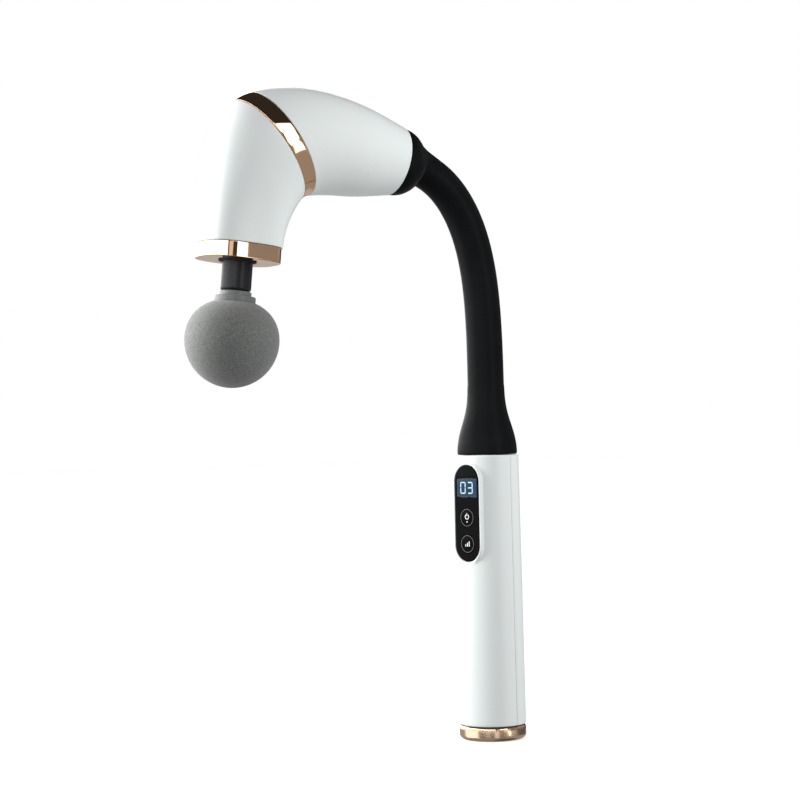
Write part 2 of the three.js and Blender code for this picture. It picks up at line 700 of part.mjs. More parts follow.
function buildCrank() {
  const hub = alongX(rod(8, 4.2, 9.4, 24));
  const weightRadius = 11.4;
  const weight = common(alongX(rod(weightRadius, 4.2, 9.4, 24)),
    block([0, 20], [-20, 20], [2.5, 20]));
  const bore = alongX(rod(2.8, 5.6, 20, 16));
  const pin = alongX(rod(2.9, -3.4, 5, 16)).translate(0, 0, -CRANK_THROW);
  add(drive, 'eccentric', cut(join(hub, weight, pin), bore)
    .translate(0, 0, CRANK_HEIGHT), 'steel');

  const bearing = alongX(ring(3.2, 6.2, -2.5, 2.5, 20)).translate(0, 0, CENTRE_LOW);
  add(drive, 'rod_bearing', bearing, 'steel');

  const bigEnd = alongX(rod(9.1, -2.5, 2.5, 24));
  const smallEnd = alongX(rod(4.6, -2.5, 2.5, 20)).translate(0, 0, -ROD_LENGTH);
  const shank = block([-2, 2], [-3, 3], [-ROD_LENGTH, -6]);
  const eyes = [alongX(rod(6.5, -4, 4, 24)),
    alongX(rod(2.5, -4, 4, 12)).translate(0, 0, -ROD_LENGTH)];
  add(drive, 'connecting_rod', cut(join(bigEnd, smallEnd, shank), ...eyes)
    .translate(0, 0, CENTRE_LOW), 'brass');
}

function buildMotor() {
  const end = MOTOR_START + MOTOR_LENGTH;
  const wall = 1.4;
  const shaft = 2.5;
  const onAxis = (geometry) => alongX(geometry).translate(0, 0, CRANK_HEIGHT);
  const [r, inner, hole] = [MOTOR_RADIUS, MOTOR_RADIUS - wall, shaft + GAP];

  add(drive, 'motor_can', onAxis(turned([
    [hole, MOTOR_START], [r - 1, MOTOR_START], [r, MOTOR_START + 1], [r, end - 1],
    [r - 1, end], [hole, end], [hole, end - 2.2], [inner, end - 2.2],
    [inner, MOTOR_START + 2.2], [hole, MOTOR_START + 2.2],
  ], 24)), 'steel');
  add(drive, 'motor_stator', onAxis(
    ring(10.2, inner - GAP, MOTOR_START + 5, end - 5, 24)), 'copper');
  add(drive, 'motor_rotor', onAxis(turned([
    [0, 6], [shaft, 6], [shaft, MOTOR_START + 5], [9.6, MOTOR_START + 5],
    [9.6, end - 5], [shaft, end - 5], [shaft, end + 1], [0, end + 1],
  ], 20)), 'darkSteel');
  add(drive, 'damping_ring', onAxis(
    ring(r + GAP, r + 2.4, end - 9, end - 3, 24)), 'blackRubber');
  add(drive, 'driver_board', onAxis(
    ring(4, 15, end + 3, end + 3 + BOARD_THICKNESS, 24)), 'circuitGreen');

  const plateX = [MOTOR_START - 3, MOTOR_START - GAP];
  const face = alongX(rod(18, plateX[0], plateX[1], 32)).translate(0, 0, CRANK_HEIGHT);
  const web = block(plateX, [-11, 11], [8, CRANK_HEIGHT]);
  const holder = rod(13.6, 8, 25, 28);
  const bushingHole = rod(11 + GAP, 0, 40, 28);
  const shaftHole = alongX(rod(6, 0, 20, 20)).translate(0, 0, CRANK_HEIGHT);
  const screwAt = [14.4, -14.4];
  const screwHoles = screwAt.map(
    (y) => alongX(rod(1.6, 0, 20, 12)).translate(0, y, CRANK_HEIGHT));
  add(drive, 'motor_bracket', cut(join(face, web, holder), bushingHole, shaftHole,
    ...screwHoles), 'innerPlastic');
  screwAt.forEach((y, i) => {
    const head = alongX(rod(2.6, plateX[0] - 2, plateX[0] - 0.05, 12));
    const shank = alongX(rod(1.3, plateX[0] - 1, plateX[1], 12));
    add(drive, `motor_screw_${i + 1}`, join(head, shank).translate(0, y, CRANK_HEIGHT),
      'darkSteel');
  });
}

// ---------------------------------------------------------------- ball attachment

function buildBall() {
  const centre = -BALL_DROP;
  const smallDisc = 8.8;
  const largeDisc = 11.3;
  const coreRadius = 9;
  const coreBottom = centre + 2;
  const seat = largeDisc + 0.4;
  const ballPoint = (angle) => {
    const c = Math.max(Math.cos(angle), 0);
    const squeeze = 1 - BALL_FLATTENING * c ** 1.5;
    return [BALL_RADIUS * Math.sin(angle), centre + BALL_RADIUS * Math.cos(angle) * squeeze];
  };
  const seatAngle = Math.asin(seat / BALL_RADIUS);
  const rim = ballPoint(seatAngle)[1];
  const collarBottom = rim - 0.7;
  const step = rim + 3.3;
  const collarTop = -PLUNGER_REACH - 0.4;
  const stemTop = -PLUNGER_REACH + STEM_LENGTH;
  add(drive, 'ball_core', turned([
    [0, coreBottom], [coreRadius, coreBottom], [coreRadius, collarBottom],
    [largeDisc, collarBottom], [largeDisc, step - 0.4], [largeDisc - 0.4, step],
    [smallDisc, step], [smallDisc, collarTop - 0.3], [smallDisc - 0.3, collarTop],
    [STEM_RADIUS, collarTop], [STEM_RADIUS, stemTop], [0, stemTop],
  ], 32), 'greyCollar');

  const steps = 12;
  const outside = Array.from({ length: steps }, (_, i) => (
    ballPoint(seatAngle + ((Math.PI - seatAngle) * i) / steps)));
  const pocket = coreRadius + GAP;
  add(drive, 'massage_ball', turned([
    [0, coreBottom - GAP], [pocket, coreBottom - GAP], [pocket, collarBottom - GAP],
    [seat, collarBottom - GAP], ...outside, [0, centre - BALL_RADIUS],
  ], 28), 'greyFoam');
}

buildBase();
buildShells();
buildPanel();
buildBattery();
buildNeckFoot();
buildNeckLinks();
buildNeckTop();
buildHeadShells();
buildPlate();
buildPlunger();
buildCrank();
buildMotor();
buildBall();

export default massager;
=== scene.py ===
"""The looks of a handheld wand massager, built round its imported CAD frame.

Geometry is written in millimetres and scaled to metres as each mesh is made. Places come
from the frame's node extents, joint points and joint axes, except along the neck's centre
line and the head's outlines, which are given here in the frame's own coordinates.
"""

import json
import math

import bmesh
import bpy
import numpy as np
from mathutils import Matrix, Vector


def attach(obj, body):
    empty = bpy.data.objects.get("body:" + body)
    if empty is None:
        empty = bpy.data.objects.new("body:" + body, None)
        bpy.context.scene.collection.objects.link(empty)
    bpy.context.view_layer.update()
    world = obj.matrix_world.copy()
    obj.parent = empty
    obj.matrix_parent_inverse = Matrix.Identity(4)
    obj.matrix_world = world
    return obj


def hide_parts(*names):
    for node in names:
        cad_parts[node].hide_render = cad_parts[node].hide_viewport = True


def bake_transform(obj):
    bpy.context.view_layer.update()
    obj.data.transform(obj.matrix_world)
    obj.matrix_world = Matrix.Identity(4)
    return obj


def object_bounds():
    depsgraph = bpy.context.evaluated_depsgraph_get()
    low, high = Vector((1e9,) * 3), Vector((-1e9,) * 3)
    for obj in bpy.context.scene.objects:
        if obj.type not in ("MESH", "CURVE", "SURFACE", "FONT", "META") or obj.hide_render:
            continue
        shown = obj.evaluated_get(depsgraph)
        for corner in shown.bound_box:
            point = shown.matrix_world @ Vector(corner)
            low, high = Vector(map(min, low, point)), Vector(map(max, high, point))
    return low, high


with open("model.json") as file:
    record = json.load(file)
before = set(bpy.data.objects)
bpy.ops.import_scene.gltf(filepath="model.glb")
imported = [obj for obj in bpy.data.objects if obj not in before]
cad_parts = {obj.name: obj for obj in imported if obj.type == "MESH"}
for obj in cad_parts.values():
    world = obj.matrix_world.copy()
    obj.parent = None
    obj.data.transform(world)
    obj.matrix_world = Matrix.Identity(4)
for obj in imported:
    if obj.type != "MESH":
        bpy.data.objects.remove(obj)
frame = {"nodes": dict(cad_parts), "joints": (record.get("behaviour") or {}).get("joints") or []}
cad_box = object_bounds()

MM = 0.001
JOINTS = {joint["name"]: joint for joint in frame["joints"]}
scene = bpy.context.scene

# ---------------------------------------------------------------- places from the frame


def extent(node, local=Matrix()):
    """Lowest and highest corner of a CAD node in millimetres, in a local frame."""
    to_local = local.inverted()
    points = np.array([to_local @ (v.co / MM) for v in frame["nodes"][node].data.vertices])
    return Vector(points.min(0)), Vector(points.max(0))


def joint_point(name):
    return Vector(JOINTS[name]["pos_m"]) / MM


def joint_axis(name):
    return Vector(JOINTS[name]["axis"]).normalized()


press = joint_axis("key_upper_press")
HANDLE = Matrix.Rotation(math.atan2(press.y, press.x), 4, "Z")    # the panel faces local -X

CRANK_HEIGHT = 62.0                                  # crank centre above the nose plate
drive_x = joint_axis("motor_spin")
drive_z = joint_axis("plunger_stroke")
drive_origin = joint_point("motor_spin") - CRANK_HEIGHT * drive_z
DRIVE = Matrix.Translation(drive_origin) @ Matrix(
    (drive_x, drive_z.cross(drive_x), drive_z)).transposed().to_4x4()

# ---------------------------------------------------------------- mesh helpers


def in_metres(local):
    """A local frame given in millimetres, for a mesh that is already in metres."""
    return Matrix.Translation(local.translation * MM) @ local.to_3x3().to_4x4()


def finish_piece(name, mesh, material, body, replaced=(), crease=40.0):
    """Makes an object of a mesh, shades it and ties it to its CAD body."""
    mesh.materials.append(material)
    mesh.shade_smooth()
    if crease is not None:
        mesh.set_sharp_from_angle(angle=math.radians(crease))
    piece = bpy.data.objects.new(name, mesh)
    scene.collection.objects.link(piece)
    if body is not None:
        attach(piece, body)
    if replaced:
        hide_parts(*replaced)
    return piece


def solid(name, points, faces, local=Matrix()):
    """A mesh in metres from points in millimetres, with its faces turned outwards."""
    mesh = bpy.data.meshes.new(name)
    mesh.from_pydata([tuple((local @ Vector(p)) * MM) for p in points], [], faces)
    bm = bmesh.new()
    bm.from_mesh(mesh)
    bmesh.ops.remove_doubles(bm, verts=bm.verts, dist=1e-7)
    bmesh.ops.dissolve_degenerate(bm, edges=bm.edges, dist=1e-8)
    bmesh.ops.recalc_face_normals(bm, faces=bm.faces)
    bm.to_mesh(mesh)
    bm.free()
    return mesh


def unit_circle(count):
    """Cosine and sine of the directions to the corners of a regular polygon."""
    angles = [2 * math.pi * i / count for i in range(count)]
    return [(math.cos(angle), math.sin(angle)) for angle in angles]


def loft(rings, closed_loop=False, caps=True):
    """Points and quads through a series of rings that all have the same count."""
    count = len(rings[0])
    points = [tuple(p) for ring in rings for p in ring]
    faces = []
    bands = len(rings) if closed_loop else len(rings) - 1
    for k in range(bands):
        low, high = k * count, ((k + 1) % len(rings)) * count
        for i in range(count):
            j = (i + 1) % count
            faces.append((low + i, low + j, high + j, high + i))
    if caps and not closed_loop:
        faces.append(tuple(range(count))[::-1])
        faces.append(tuple(range(len(points) - count, len(points))))
    return points, faces


def lathe(profile, segments=96):
    """Points and faces turned about +Z. The profile starts and ends on the axis, or is a
    closed ring section."""
    on_axis = profile[0][0] == 0 and profile[-1][0] == 0
    rings = [[(max(radius, 1e-5) * c, max(radius, 1e-5) * s, height)
              for c, s in unit_circle(segments)] for radius, height in profile]
    return loft(rings, closed_loop=not on_axis, caps=False)


def fillet(corners, steps=6):
    """A 2D outline with its corners rounded. Each corner is (x, y, radius)."""
    outline = []
    for i, (x, y, radius) in enumerate(corners):
        point = Vector((x, y))
        before = Vector(corners[i - 1][:2]) - point
        after = Vector(corners[(i + 1) % len(corners)][:2]) - point
        if radius <= 0:
            outline.append((x, y))
            continue
        half = before.angle(after) / 2
        reach = min(radius / math.tan(half), 0.49 * before.length, 0.49 * after.length)
        radius = reach * math.tan(half)
        centre = point + (before.normalized() + after.normalized()).normalized() \
            * (radius / math.sin(half))
        start = point + before.normalized() * reach - centre
        turn = start.angle_signed(point + after.normalized() * reach - centre)
        for k in range(steps + 1):
            angle = -turn * k / steps
            outline.append((centre.x + start.x * math.cos(angle) - start.y * math.sin(angle),
                            centre.y + start.x * math.sin(angle) + start.y * math.cos(angle)))
    return outline


def pill(width, length, centre, steps=24):
    """Outline of a pill standing on its end, in the panel's plane."""
    radius, straight = width / 2, (length - width) / 2
    outline = []
    for middle, start in ((centre + straight, 0.0), (centre - straight, math.pi)):
        for k in range(steps + 1):
            angle = start + math.pi * k / steps
            outline.append((radius * math.cos(angle), middle + radius * math.sin(angle)))
    return outline


def circle(diameter, centre, steps=64):
    return [(diameter / 2 * c, centre + diameter / 2 * s) for c, s in unit_circle(steps)]


def rounded_box(width, height, centre, radius, steps=6):
    x, low, high = width / 2, centre - height / 2, centre + height / 2
    return fillet([(-x, low, radius), (x, low, radius), (x, high, radius), (-x, high, radius)],
                  steps)


def shrink(outline, amount):
    """Moves every side of a convex outline inwards."""
    moved = []
    for i, (x, y) in enumerate(outline):
        (x0, y0), (x1, y1) = outline[i - 1], outline[(i + 1) % len(outline)]
        normal = Vector((y0 - y1, x1 - x0)).normalized()
        moved.append((x + normal.x * amount, y + normal.y * amount))
    return moved


def on_panel(outline, distance):
    """Lifts an outline off the handle's axis towards the panel."""
    return [(-distance, -x, z) for x, z in outline]


def panel_prism(outline, back, front, edge=0.0):
    """A prism on the panel side, its front edge rounded by `edge`."""
    rings = [on_panel(outline, back)]
    steps = 4 if edge else 0
    for k in range(steps + 1):
        angle = math.pi / 2 * k / max(steps, 1)
        drop, inset = edge * (1 - math.sin(angle)), edge * (1 - math.cos(angle))
        rings.append(on_panel(shrink(outline, inset), front - drop))
    return loft(rings)


def carve(mesh, *cutters, operation="DIFFERENCE"):
    """A mesh cut by, or joined to, others with exact booleans."""
    base = bpy.data.objects.new("carve_base", mesh)
    scene.collection.objects.link(base)
    tools = []
    for cutter in cutters:
        tool = bpy.data.objects.new("carve_tool", cutter)
        scene.collection.objects.link(tool)
        tools.append(tool)
        modifier = base.modifiers.new("carve", "BOOLEAN")
        modifier.operation = operation
        modifier.solver = "EXACT"
        modifier.object = tool
    graph = bpy.context.evaluated_depsgraph_get()
    result = bpy.data.meshes.new_from_object(base.evaluated_get(graph))
    for temporary in [base, *tools]:
        bpy.data.objects.remove(temporary)
    return result


# ---------------------------------------------------------------- materials

NOISE_RANGE = (0.3, 0.7)           # most of a noise texture's values lie in here
DISPLAY_GLOW = 0.42


class Shading:
    """A shader node tree with short ways to add to it."""

    def __init__(self, tree):
        self.nodes, self.links = tree.nodes, tree.links

    def put(self, socket, value):
        """Links a socket to another one, or sets it to a plain value."""
        if isinstance(value, bpy.types.NodeSocket):
            self.links.new(value, socket)
        else:
            socket.default_value = value

    def node(self, kind, output, inputs, **settings):
        """Adds a node and returns one of its outputs."""
        node = self.nodes.new("ShaderNode" + kind)
        for setting, value in settings.items():
            setattr(node, setting, value)
        for socket, value in inputs.items():
            self.put(node.inputs[socket], value)
        return node.outputs[output]

    def dot(self, vector, axis):
        return self.node("VectorMath", "Value", {0: vector, 1: axis}, operation="DOT_PRODUCT")

    def spread(self, value, source, target=(0.0, 1.0), interpolation="LINEAR"):
        """Maps one range of values to another."""
        return self.node("MapRange", "Result", {
            "Value": value, "From Min": source[0], "From Max": source[1],
            "To Min": target[0], "To Max": target[1]}, interpolation_type=interpolation)


class Surface(Shading):
    """A Principled material with object-space texture coordinates to hang detail on."""

    def __init__(self, name, color, roughness, metallic=0.0, **sockets):
        self.material = bpy.data.materials.new(name)
        self.material.use_nodes = True
        super().__init__(self.material.node_tree)
        self.shader = self.nodes["Principled BSDF"].inputs
        for socket, value in {"Base Color": (*color, 1), "Roughness": roughness,
                              "Metallic": metallic, **sockets}.items():
            self.put(self.shader[socket.replace("_", " ")], value)
        self.position = self.node("TexCoord", "Object", {})
        self.normal = None

    def noise(self, scale, detail=3.0, roughness=0.55, stretch=None):
        position = self.position
        if stretch is not None:
            position = self.node("Mapping", "Vector", {"Vector": position, "Scale": stretch})
        return self.node("TexNoise", "Fac", {"Vector": position, "Scale": scale,
                                             "Detail": detail, "Roughness": roughness})

    def ramp(self, value, stops):
        """Colour stops of (position, (r, g, b)) over a value."""
        ramp = self.nodes.new("ShaderNodeValToRGB")
        elements = ramp.color_ramp.elements
        while len(elements) < len(stops):
            elements.new(0.5)
        for element, (position, color) in zip(elements, stops):
            element.position = position
            element.color = (*color, 1)
        self.links.new(value, ramp.inputs["Fac"])
        return ramp.outputs["Color"]

    def tint(self, value, *colors):
        """Colours the surface from the first colour to the last over a noise."""
        self.put(self.shader["Base Color"], self.ramp(value, list(zip(NOISE_RANGE, colors))))

    def rough(self, value, low, high):
        self.put(self.shader["Roughness"], self.spread(value, NOISE_RANGE, (low, high)))

    def bump(self, height, strength, depth):
        inputs = {"Height": height, "Strength": strength, "Distance": depth}
        if self.normal is not None:
            inputs["Normal"] = self.normal
        self.normal = self.node("Bump", "Normal", inputs)
        self.put(self.shader["Normal"], self.normal)

    def glow(self, color, strength):
        self.put(self.shader["Emission Color"], color)
        self.put(self.shader["Emission Strength"], strength)


def coat(name, color, roughness, metallic=0.0, tint=None, rough=None, bump=None, glow=None,
         **sockets):
    """A material of up to three noise layers. `tint` is a noise and two colours, `rough` a
    noise and two roughnesses, and `bump` a noise, a strength and a depth in metres. A noise
    is its scale and detail, then if need be its roughness and stretch."""
    surface = Surface(name, color, roughness, metallic, **sockets)
    for layer, apply in ((tint, surface.tint), (rough, surface.rough), (bump, surface.bump)):
        if layer is not None:
            apply(surface.noise(*layer[0]), *layer[1:])
    if glow is not None:
        surface.glow(*glow)
    return surface.material


def shade(color, factor):
    return tuple(part * factor for part in color)


def metal(name, color, roughness):
    """Metal with a fine grain along its length."""
    grain = (1100, 3, 0.55, (1.0, 1.0, 0.08))
    return coat(name, color, roughness, 1.0, tint=((55, 3), shade(color, 0.88), color),
                rough=(grain, roughness * 0.8, roughness * 1.3), bump=(grain, 0.08, 0.00004))


def plastic(name, color, low, high):
    return coat(name, color, (low + high) / 2, IOR=1.47,
                tint=((70, 3), shade(color, 0.85), color), rough=((240, 3), low, high),
                bump=((1400, 3), 0.2, 0.00006))


def display_glass(centre, width, height):
    """A lit liquid-crystal window, deepest blue in the middle."""
    surface = Surface("display", (0.01, 0.015, 0.02), 0.25, IOR=1.49,
                      Specular_IOR_Level=0.1)
    reach = Vector((width, width, height * 0.75))
    place = surface.node("Mapping", "Vector", {
        "Vector": surface.position, "Scale": [1 / size for size in reach],
        "Location": [-middle / size for middle, size in zip(centre, reach)]})
    fall = surface.node("TexGradient", "Fac", {"Vector": place}, gradient_type="SPHERICAL")
    surface.glow(surface.ramp(fall, [(0.2, (0.085, 0.135, 0.19)),
                                     (0.75, (0.015, 0.07, 0.19))]), DISPLAY_GLOW)
    surface.bump(surface.noise(1400, 2), 0.05, 0.00003)
    return surface.material


def foam():
    """Moulded foam rubber: a fine pebbled skin with lighter and darker grains."""
    surface = Surface("grey_foam", (0.145, 0.15, 0.145), 0.78, IOR=1.4,
                      Sheen_Weight=0.2, Sheen_Roughness=0.6)
    cells = surface.node("TexVoronoi", "Distance", {"Vector": surface.position,
                                                    "Scale": 1700})
    grains = surface.noise(1500, 4, 0.7)
    speckle = surface.ramp(grains, [(0.36, (0.088, 0.093, 0.088)), (0.5, (0.13, 0.136, 0.13)),
                                    (0.64, (0.20, 0.207, 0.20))])
    surface.put(surface.shader["Base Color"], speckle)
    surface.rough(surface.noise(300, 3), 0.7, 0.86)
    surface.bump(cells, 0.45, 0.00016)
    surface.bump(grains, 0.5, 0.00014)
    return surface.material


def copper_winding():
    """Enamelled wire, laid in fine turns."""
    surface = Surface("copper", (0.62, 0.28, 0.13), 0.3, 1.0)
    turns = surface.node("TexWave", "Fac", {"Vector": surface.position, "Scale": 420,
                                            "Distortion": 0.6})
    surface.put(surface.shader["Base Color"], surface.ramp(
        turns, [(0.0, (0.30, 0.11, 0.05)), (0.6, (0.72, 0.34, 0.16))]))
    surface.bump(turns, 0.6, 0.0002)
    return surface.material


def circuit_board():
    """Solder mask over copper tracks."""
    surface = Surface("circuit_board", (0.012, 0.11, 0.05), 0.3, IOR=1.5)
    tracks = surface.node("TexBrick", "Color", {
        "Vector": surface.position, "Scale": 260, "Mortar Size": 0.03,
        "Color1": (0.010, 0.095, 0.042, 1), "Color2": (0.014, 0.125, 0.055, 1),
        "Mortar": (0.03, 0.19, 0.08, 1)})
    surface.put(surface.shader["Base Color"], tracks)
    surface.rough(surface.noise(200, 3), 0.25, 0.4)
    surface.bump(tracks.node.outputs["Fac"], 0.25, 0.00005)
    return surface.material


WHITE = coat("white_shell", (0.775, 0.815, 0.812), 0.3, IOR=1.46, Specular_IOR_Level=0.3,
             tint=((9, 2), (0.770, 0.812, 0.808), (0.780, 0.820, 0.816)),
             rough=((45, 3), 0.27, 0.31), bump=((420, 2), 0.02, 0.00004))
# The bead round the rear edge of the barrel: a glossier copy of the white shell, made
# lighter than it as a painted highlight.
RIM_PAINTED_HIGHLIGHT = coat("rim_painted_highlight", (0.92, 0.93, 0.93), 0.16, IOR=1.5,
                 tint=((30, 2), (0.915, 0.925, 0.925), (0.925, 0.935, 0.935)),
                 rough=((90, 3), 0.14, 0.18))
ROSE = coat("rose_gold", (0.93, 0.60, 0.38), 0.06, 1.0,
            tint=((25, 2), (0.92, 0.59, 0.37), (0.95, 0.62, 0.40)),
            rough=((90, 4), 0.035, 0.075), bump=((14, 2), 0.03, 0.0006))
# Plating brushed round the cap, so the grain runs level.
BRUSHING = (900, 4, 0.6, (0.06, 0.06, 1.0))
CAP_GOLD = coat("cap_gold", (0.90, 0.65, 0.47), 0.2, 1.0,
                tint=((700, 2, 0.55, (0.05, 0.05, 1.0)), (0.88, 0.63, 0.45),
                      (0.93, 0.68, 0.50)),
                rough=(BRUSHING, 0.17, 0.23), bump=(BRUSHING, 0.03, 0.00003))
SILICONE = coat("silicone", (0.0042, 0.0048, 0.0054), 0.45, IOR=1.43,
                Specular_IOR_Level=0.1, tint=((60, 4), (0.0034, 0.0040, 0.0046),
                                              (0.0050, 0.0056, 0.0062)),
                rough=((120, 3), 0.42, 0.48), bump=((2600, 3), 0.12, 0.00005))
GLOSS_BLACK = coat("lens_black", (0.006, 0.006, 0.007), 0.07, IOR=1.49,
                   Specular_IOR_Level=0.02, rough=((70, 3), 0.05, 0.09),
                   bump=((30, 2), 0.02, 0.0003))
KEY_BLACK = coat("key_black", (0.003, 0.003, 0.003), 0.16, IOR=1.49,
                 Specular_IOR_Level=0.03, rough=((300, 3), 0.12, 0.2),
                 bump=((900, 2), 0.08, 0.00005))
RING_PRINT = coat("key_ring_print", (0.10, 0.095, 0.09), 0.35, IOR=1.49,
                  rough=((800, 2), 0.3, 0.4))
ICON_PRINT = coat("key_icon_print", (0.8, 0.8, 0.8), 0.35, IOR=1.49,
                  rough=((800, 2), 0.3, 0.4), glow=((0.9, 0.92, 0.95, 1), 0.12))
DIGIT_PAINT = coat("display_digits", (0.25, 0.42, 0.5), 0.4, rough=((900, 2), 0.35, 0.45),
                   glow=((0.5, 0.76, 0.86, 1), 0.55))
# A hard-coated sleeve, polished lengthwise by its own travel.
TRAVEL_MARKS = (700, 3, 0.55, (1.0, 1.0, 0.05))
SATIN_BLACK = coat("plunger_black", (0.016, 0.017, 0.019), 0.28, IOR=1.5,
                   Specular_IOR_Level=0.2, rough=(TRAVEL_MARKS, 0.22, 0.34),
                   bump=(TRAVEL_MARKS, 0.06, 0.00004))
COLLAR = coat("grey_collar", (0.145, 0.154, 0.153), 0.38, IOR=1.46,
              tint=((120, 3), (0.138, 0.147, 0.146), (0.152, 0.161, 0.160)),
              rough=((600, 3), 0.33, 0.45), bump=((1800, 2), 0.08, 0.00005))
FOAM = foam()
STEEL = metal("steel", (0.60, 0.61, 0.63), 0.26)
DARK_STEEL = metal("dark_steel", (0.17, 0.175, 0.18), 0.38)
BRASS = metal("brass", (0.72, 0.55, 0.25), 0.3)
COPPER = copper_winding()
CIRCUIT = circuit_board()
CELL_WRAP = plastic("cell_wrap", (0.03, 0.13, 0.40), 0.28, 0.4)
INNER_PLASTIC = plastic("inner_plastic", (0.035, 0.037, 0.04), 0.45, 0.6)
BLACK_RUBBER = plastic("black_rubber", (0.012, 0.012, 0.012), 0.6, 0.75)

# ---------------------------------------------------------------- handle

WALL = 2.2
TAPER_TOP_RADIUS = 18.0
CAP_RING_HEIGHT = 1.3             # the polished ring at the cap's upper edge
BEZEL_RIM = 1.4
LENS_THICKNESS = 2.0
CLEARANCE = 0.3
LIP_RADIUS = 0.6                  # rounding of the tube's two ends
SEAM_GROOVE = 0.3                 # rounding along the parting line of the halves
RIM_ROWS = (0, 0.12, 0.3, 0.6)
BEZEL_INSIDE, BEZEL_SLOPE = 0.55, 2.3     # where the bezel's slope starts, and its width
LENS_CHAMFER = 0.3

cap_high = extent("base_cap", HANDLE)[1]
cap_radius = cap_high.y
shell_low, shell_high = extent("handle_rear_shell", HANDLE)
lens_low, lens_high = extent("control_lens", HANDLE)
panel_face = -lens_low.x
panel_centre = (lens_low.z + lens_high.z) / 2
panel_width = lens_high.y - lens_low.y
panel_length = lens_high.z - lens_low.z


def handle_radius(z):
    share = (z - cap_high.z) / (shell_high.z - cap_high.z)
    return cap_radius + (TAPER_TOP_RADIUS - cap_radius) * share


def smooth(share):
    share = min(max(share, 0.0), 1.0)
    return share * share * (3 - 2 * share)


def outside_pill(y, z, width, length, centre):
    """Distance of a panel point outside a pill, negative inside it."""
    straight = (length - width) / 2
    beyond = max(abs(z - centre) - straight, 0.0)
    return math.hypot(y, beyond) - width / 2


def rounding(distance, radius):
    """How far a rounded edge falls back at a distance from the edge."""
    short = radius - min(distance, radius)
    return radius - math.sqrt(max(radius ** 2 - short ** 2, 0))


def shell_rows(low, high):
    """Heights of the shell's rings, close together where the bezel curves."""
    half = panel_length / 2 + 5
    coarse = list(np.linspace(low + 2, panel_centre - half, 34))
    fine = list(np.linspace(panel_centre - half, min(panel_centre + half, high - 1.2), 180))
    return [low + rim for rim in RIM_ROWS] + coarse + fine[1:] \
        + [high - rim for rim in RIM_ROWS[::-1]]


def bezel_radius(base, angle, z):
    """Radius of the front half, which rises to a flat face inside the bezel's outline."""
    face = panel_face / max(math.cos(angle), 0.5)
    y = panel_face * math.tan(max(min(angle, 1.1), -1.1))
    away = outside_pill(y, z, panel_width + 2 * BEZEL_RIM, panel_length + 2 * BEZEL_RIM,
                        panel_centre)
    rise = 1 - smooth((away + BEZEL_INSIDE) / BEZEL_SLOPE)
    return base + max(face - base, 0.0) * rise


def half_shell(front):
    """Half of the handle tube. The front half has the bezel."""
    columns = 168 if front else 72
    middle = math.pi if front else 0.0
    rings = []
    for z in shell_rows(shell_low.z, shell_high.z):
        base = handle_radius(z)
        lip = rounding(min(z - shell_low.z, shell_high.z - z), LIP_RADIUS)
        reach = math.pi / 2 - math.asin(CLEARANCE / 2 / base)
        outer, inner = [], []
        for i in range(columns + 1):
            angle = reach * (2 * i / columns - 1)
            radius = bezel_radius(base, angle, z) if front else base
            radius -= max(lip, rounding((reach - abs(angle)) * base, SEAM_GROOVE))
            for row, distance in ((outer, radius), (inner, base - WALL)):
                row.append((distance * math.cos(middle + angle),
                            distance * math.sin(middle + angle), z))
        rings.append(outer + inner[::-1])
    return loft(rings)


def build_handle():
    rear = solid("handle_back", *half_shell(False), HANDLE)
    finish_piece("handle_back", rear, WHITE, "root", ["handle_rear_shell"])

    front = solid("handle_front", *half_shell(True))
    opening = pill(panel_width + 2 * CLEARANCE, panel_length + 2 * CLEARANCE, panel_centre)
    recess = [on_panel(shrink(opening, -wider), panel_face + above) for wider, above in (
        (0, -LENS_THICKNESS - CLEARANCE), (0, -LENS_CHAMFER), (0.12, -0.12),
        (LENS_CHAMFER, 0), (LENS_CHAMFER, 3))]
    well = solid("well", *loft(recess))
    front = carve(front, well)
    front.transform(in_metres(HANDLE))
    finish_piece("handle_front", front, WHITE, "root",
                 ["handle_front_shell"], crease=50)


def build_cap():
    """Satin cup with a polished ring above a fine groove, and the charging slot below."""
    radius, top = cap_radius, cap_high.z
    edge, floor = 3.2, 2.4
    groove_top = top - CAP_RING_HEIGHT
    groove = groove_top - 0.35
    body = fillet([(0, 0, 0), (radius, 0, edge), (radius, groove, 0.15),
                   (radius - 0.6, groove, 0), (radius - WALL, groove, 0),
                   (radius - WALL, floor, 0.4), (0, floor, 0)], steps=10)
    port_low, port_high = extent("charge_port", HANDLE)
    width = port_high.x - port_low.x + 2 * CLEARANCE
    length = port_high.y - port_low.y + 2 * CLEARANCE
    middle = (port_low.x + port_high.x) / 2
    slot = [(middle + x, y) for x, y in pill(width, length, 0, steps=12)]
    cutter = loft([[(x, y, z) for x, y in slot] for z in (-1, floor + 1)])
    cup = carve(solid("cup", *lathe(body, 160)), solid("slot", *cutter))
    cup.transform(in_metres(HANDLE))
    finish_piece("cap_body", cup, CAP_GOLD, "root", ["base_cap"])

    ring = fillet([(radius - WALL, groove_top - 0.3, 0), (radius - 0.75, groove_top - 0.3, 0),
                   (radius - 0.75, groove_top, 0), (radius - 0.1, groove_top, 0.12),
                   (radius - 0.5, top - 0.4, 0.1), (radius - 0.75, top, 0.1),
                   (radius - WALL, top, 0)], steps=4)
    finish_piece("cap_ring", solid("cap_ring", *lathe(ring, 160), HANDLE), ROSE, "root")

    low, high = extent("cap_gasket", HANDLE)
    inside, outside = -low.x - 1.2, -low.x - 0.1
    gasket = fillet([(inside, low.z, 0), (outside, low.z, 0.12), (outside, high.z, 0.12),
                     (inside, high.z, 0)], steps=3)
    finish_piece("gasket", solid("gasket", *lathe(gasket, 128), HANDLE), BLACK_RUBBER,
                 "root", ["cap_gasket"])


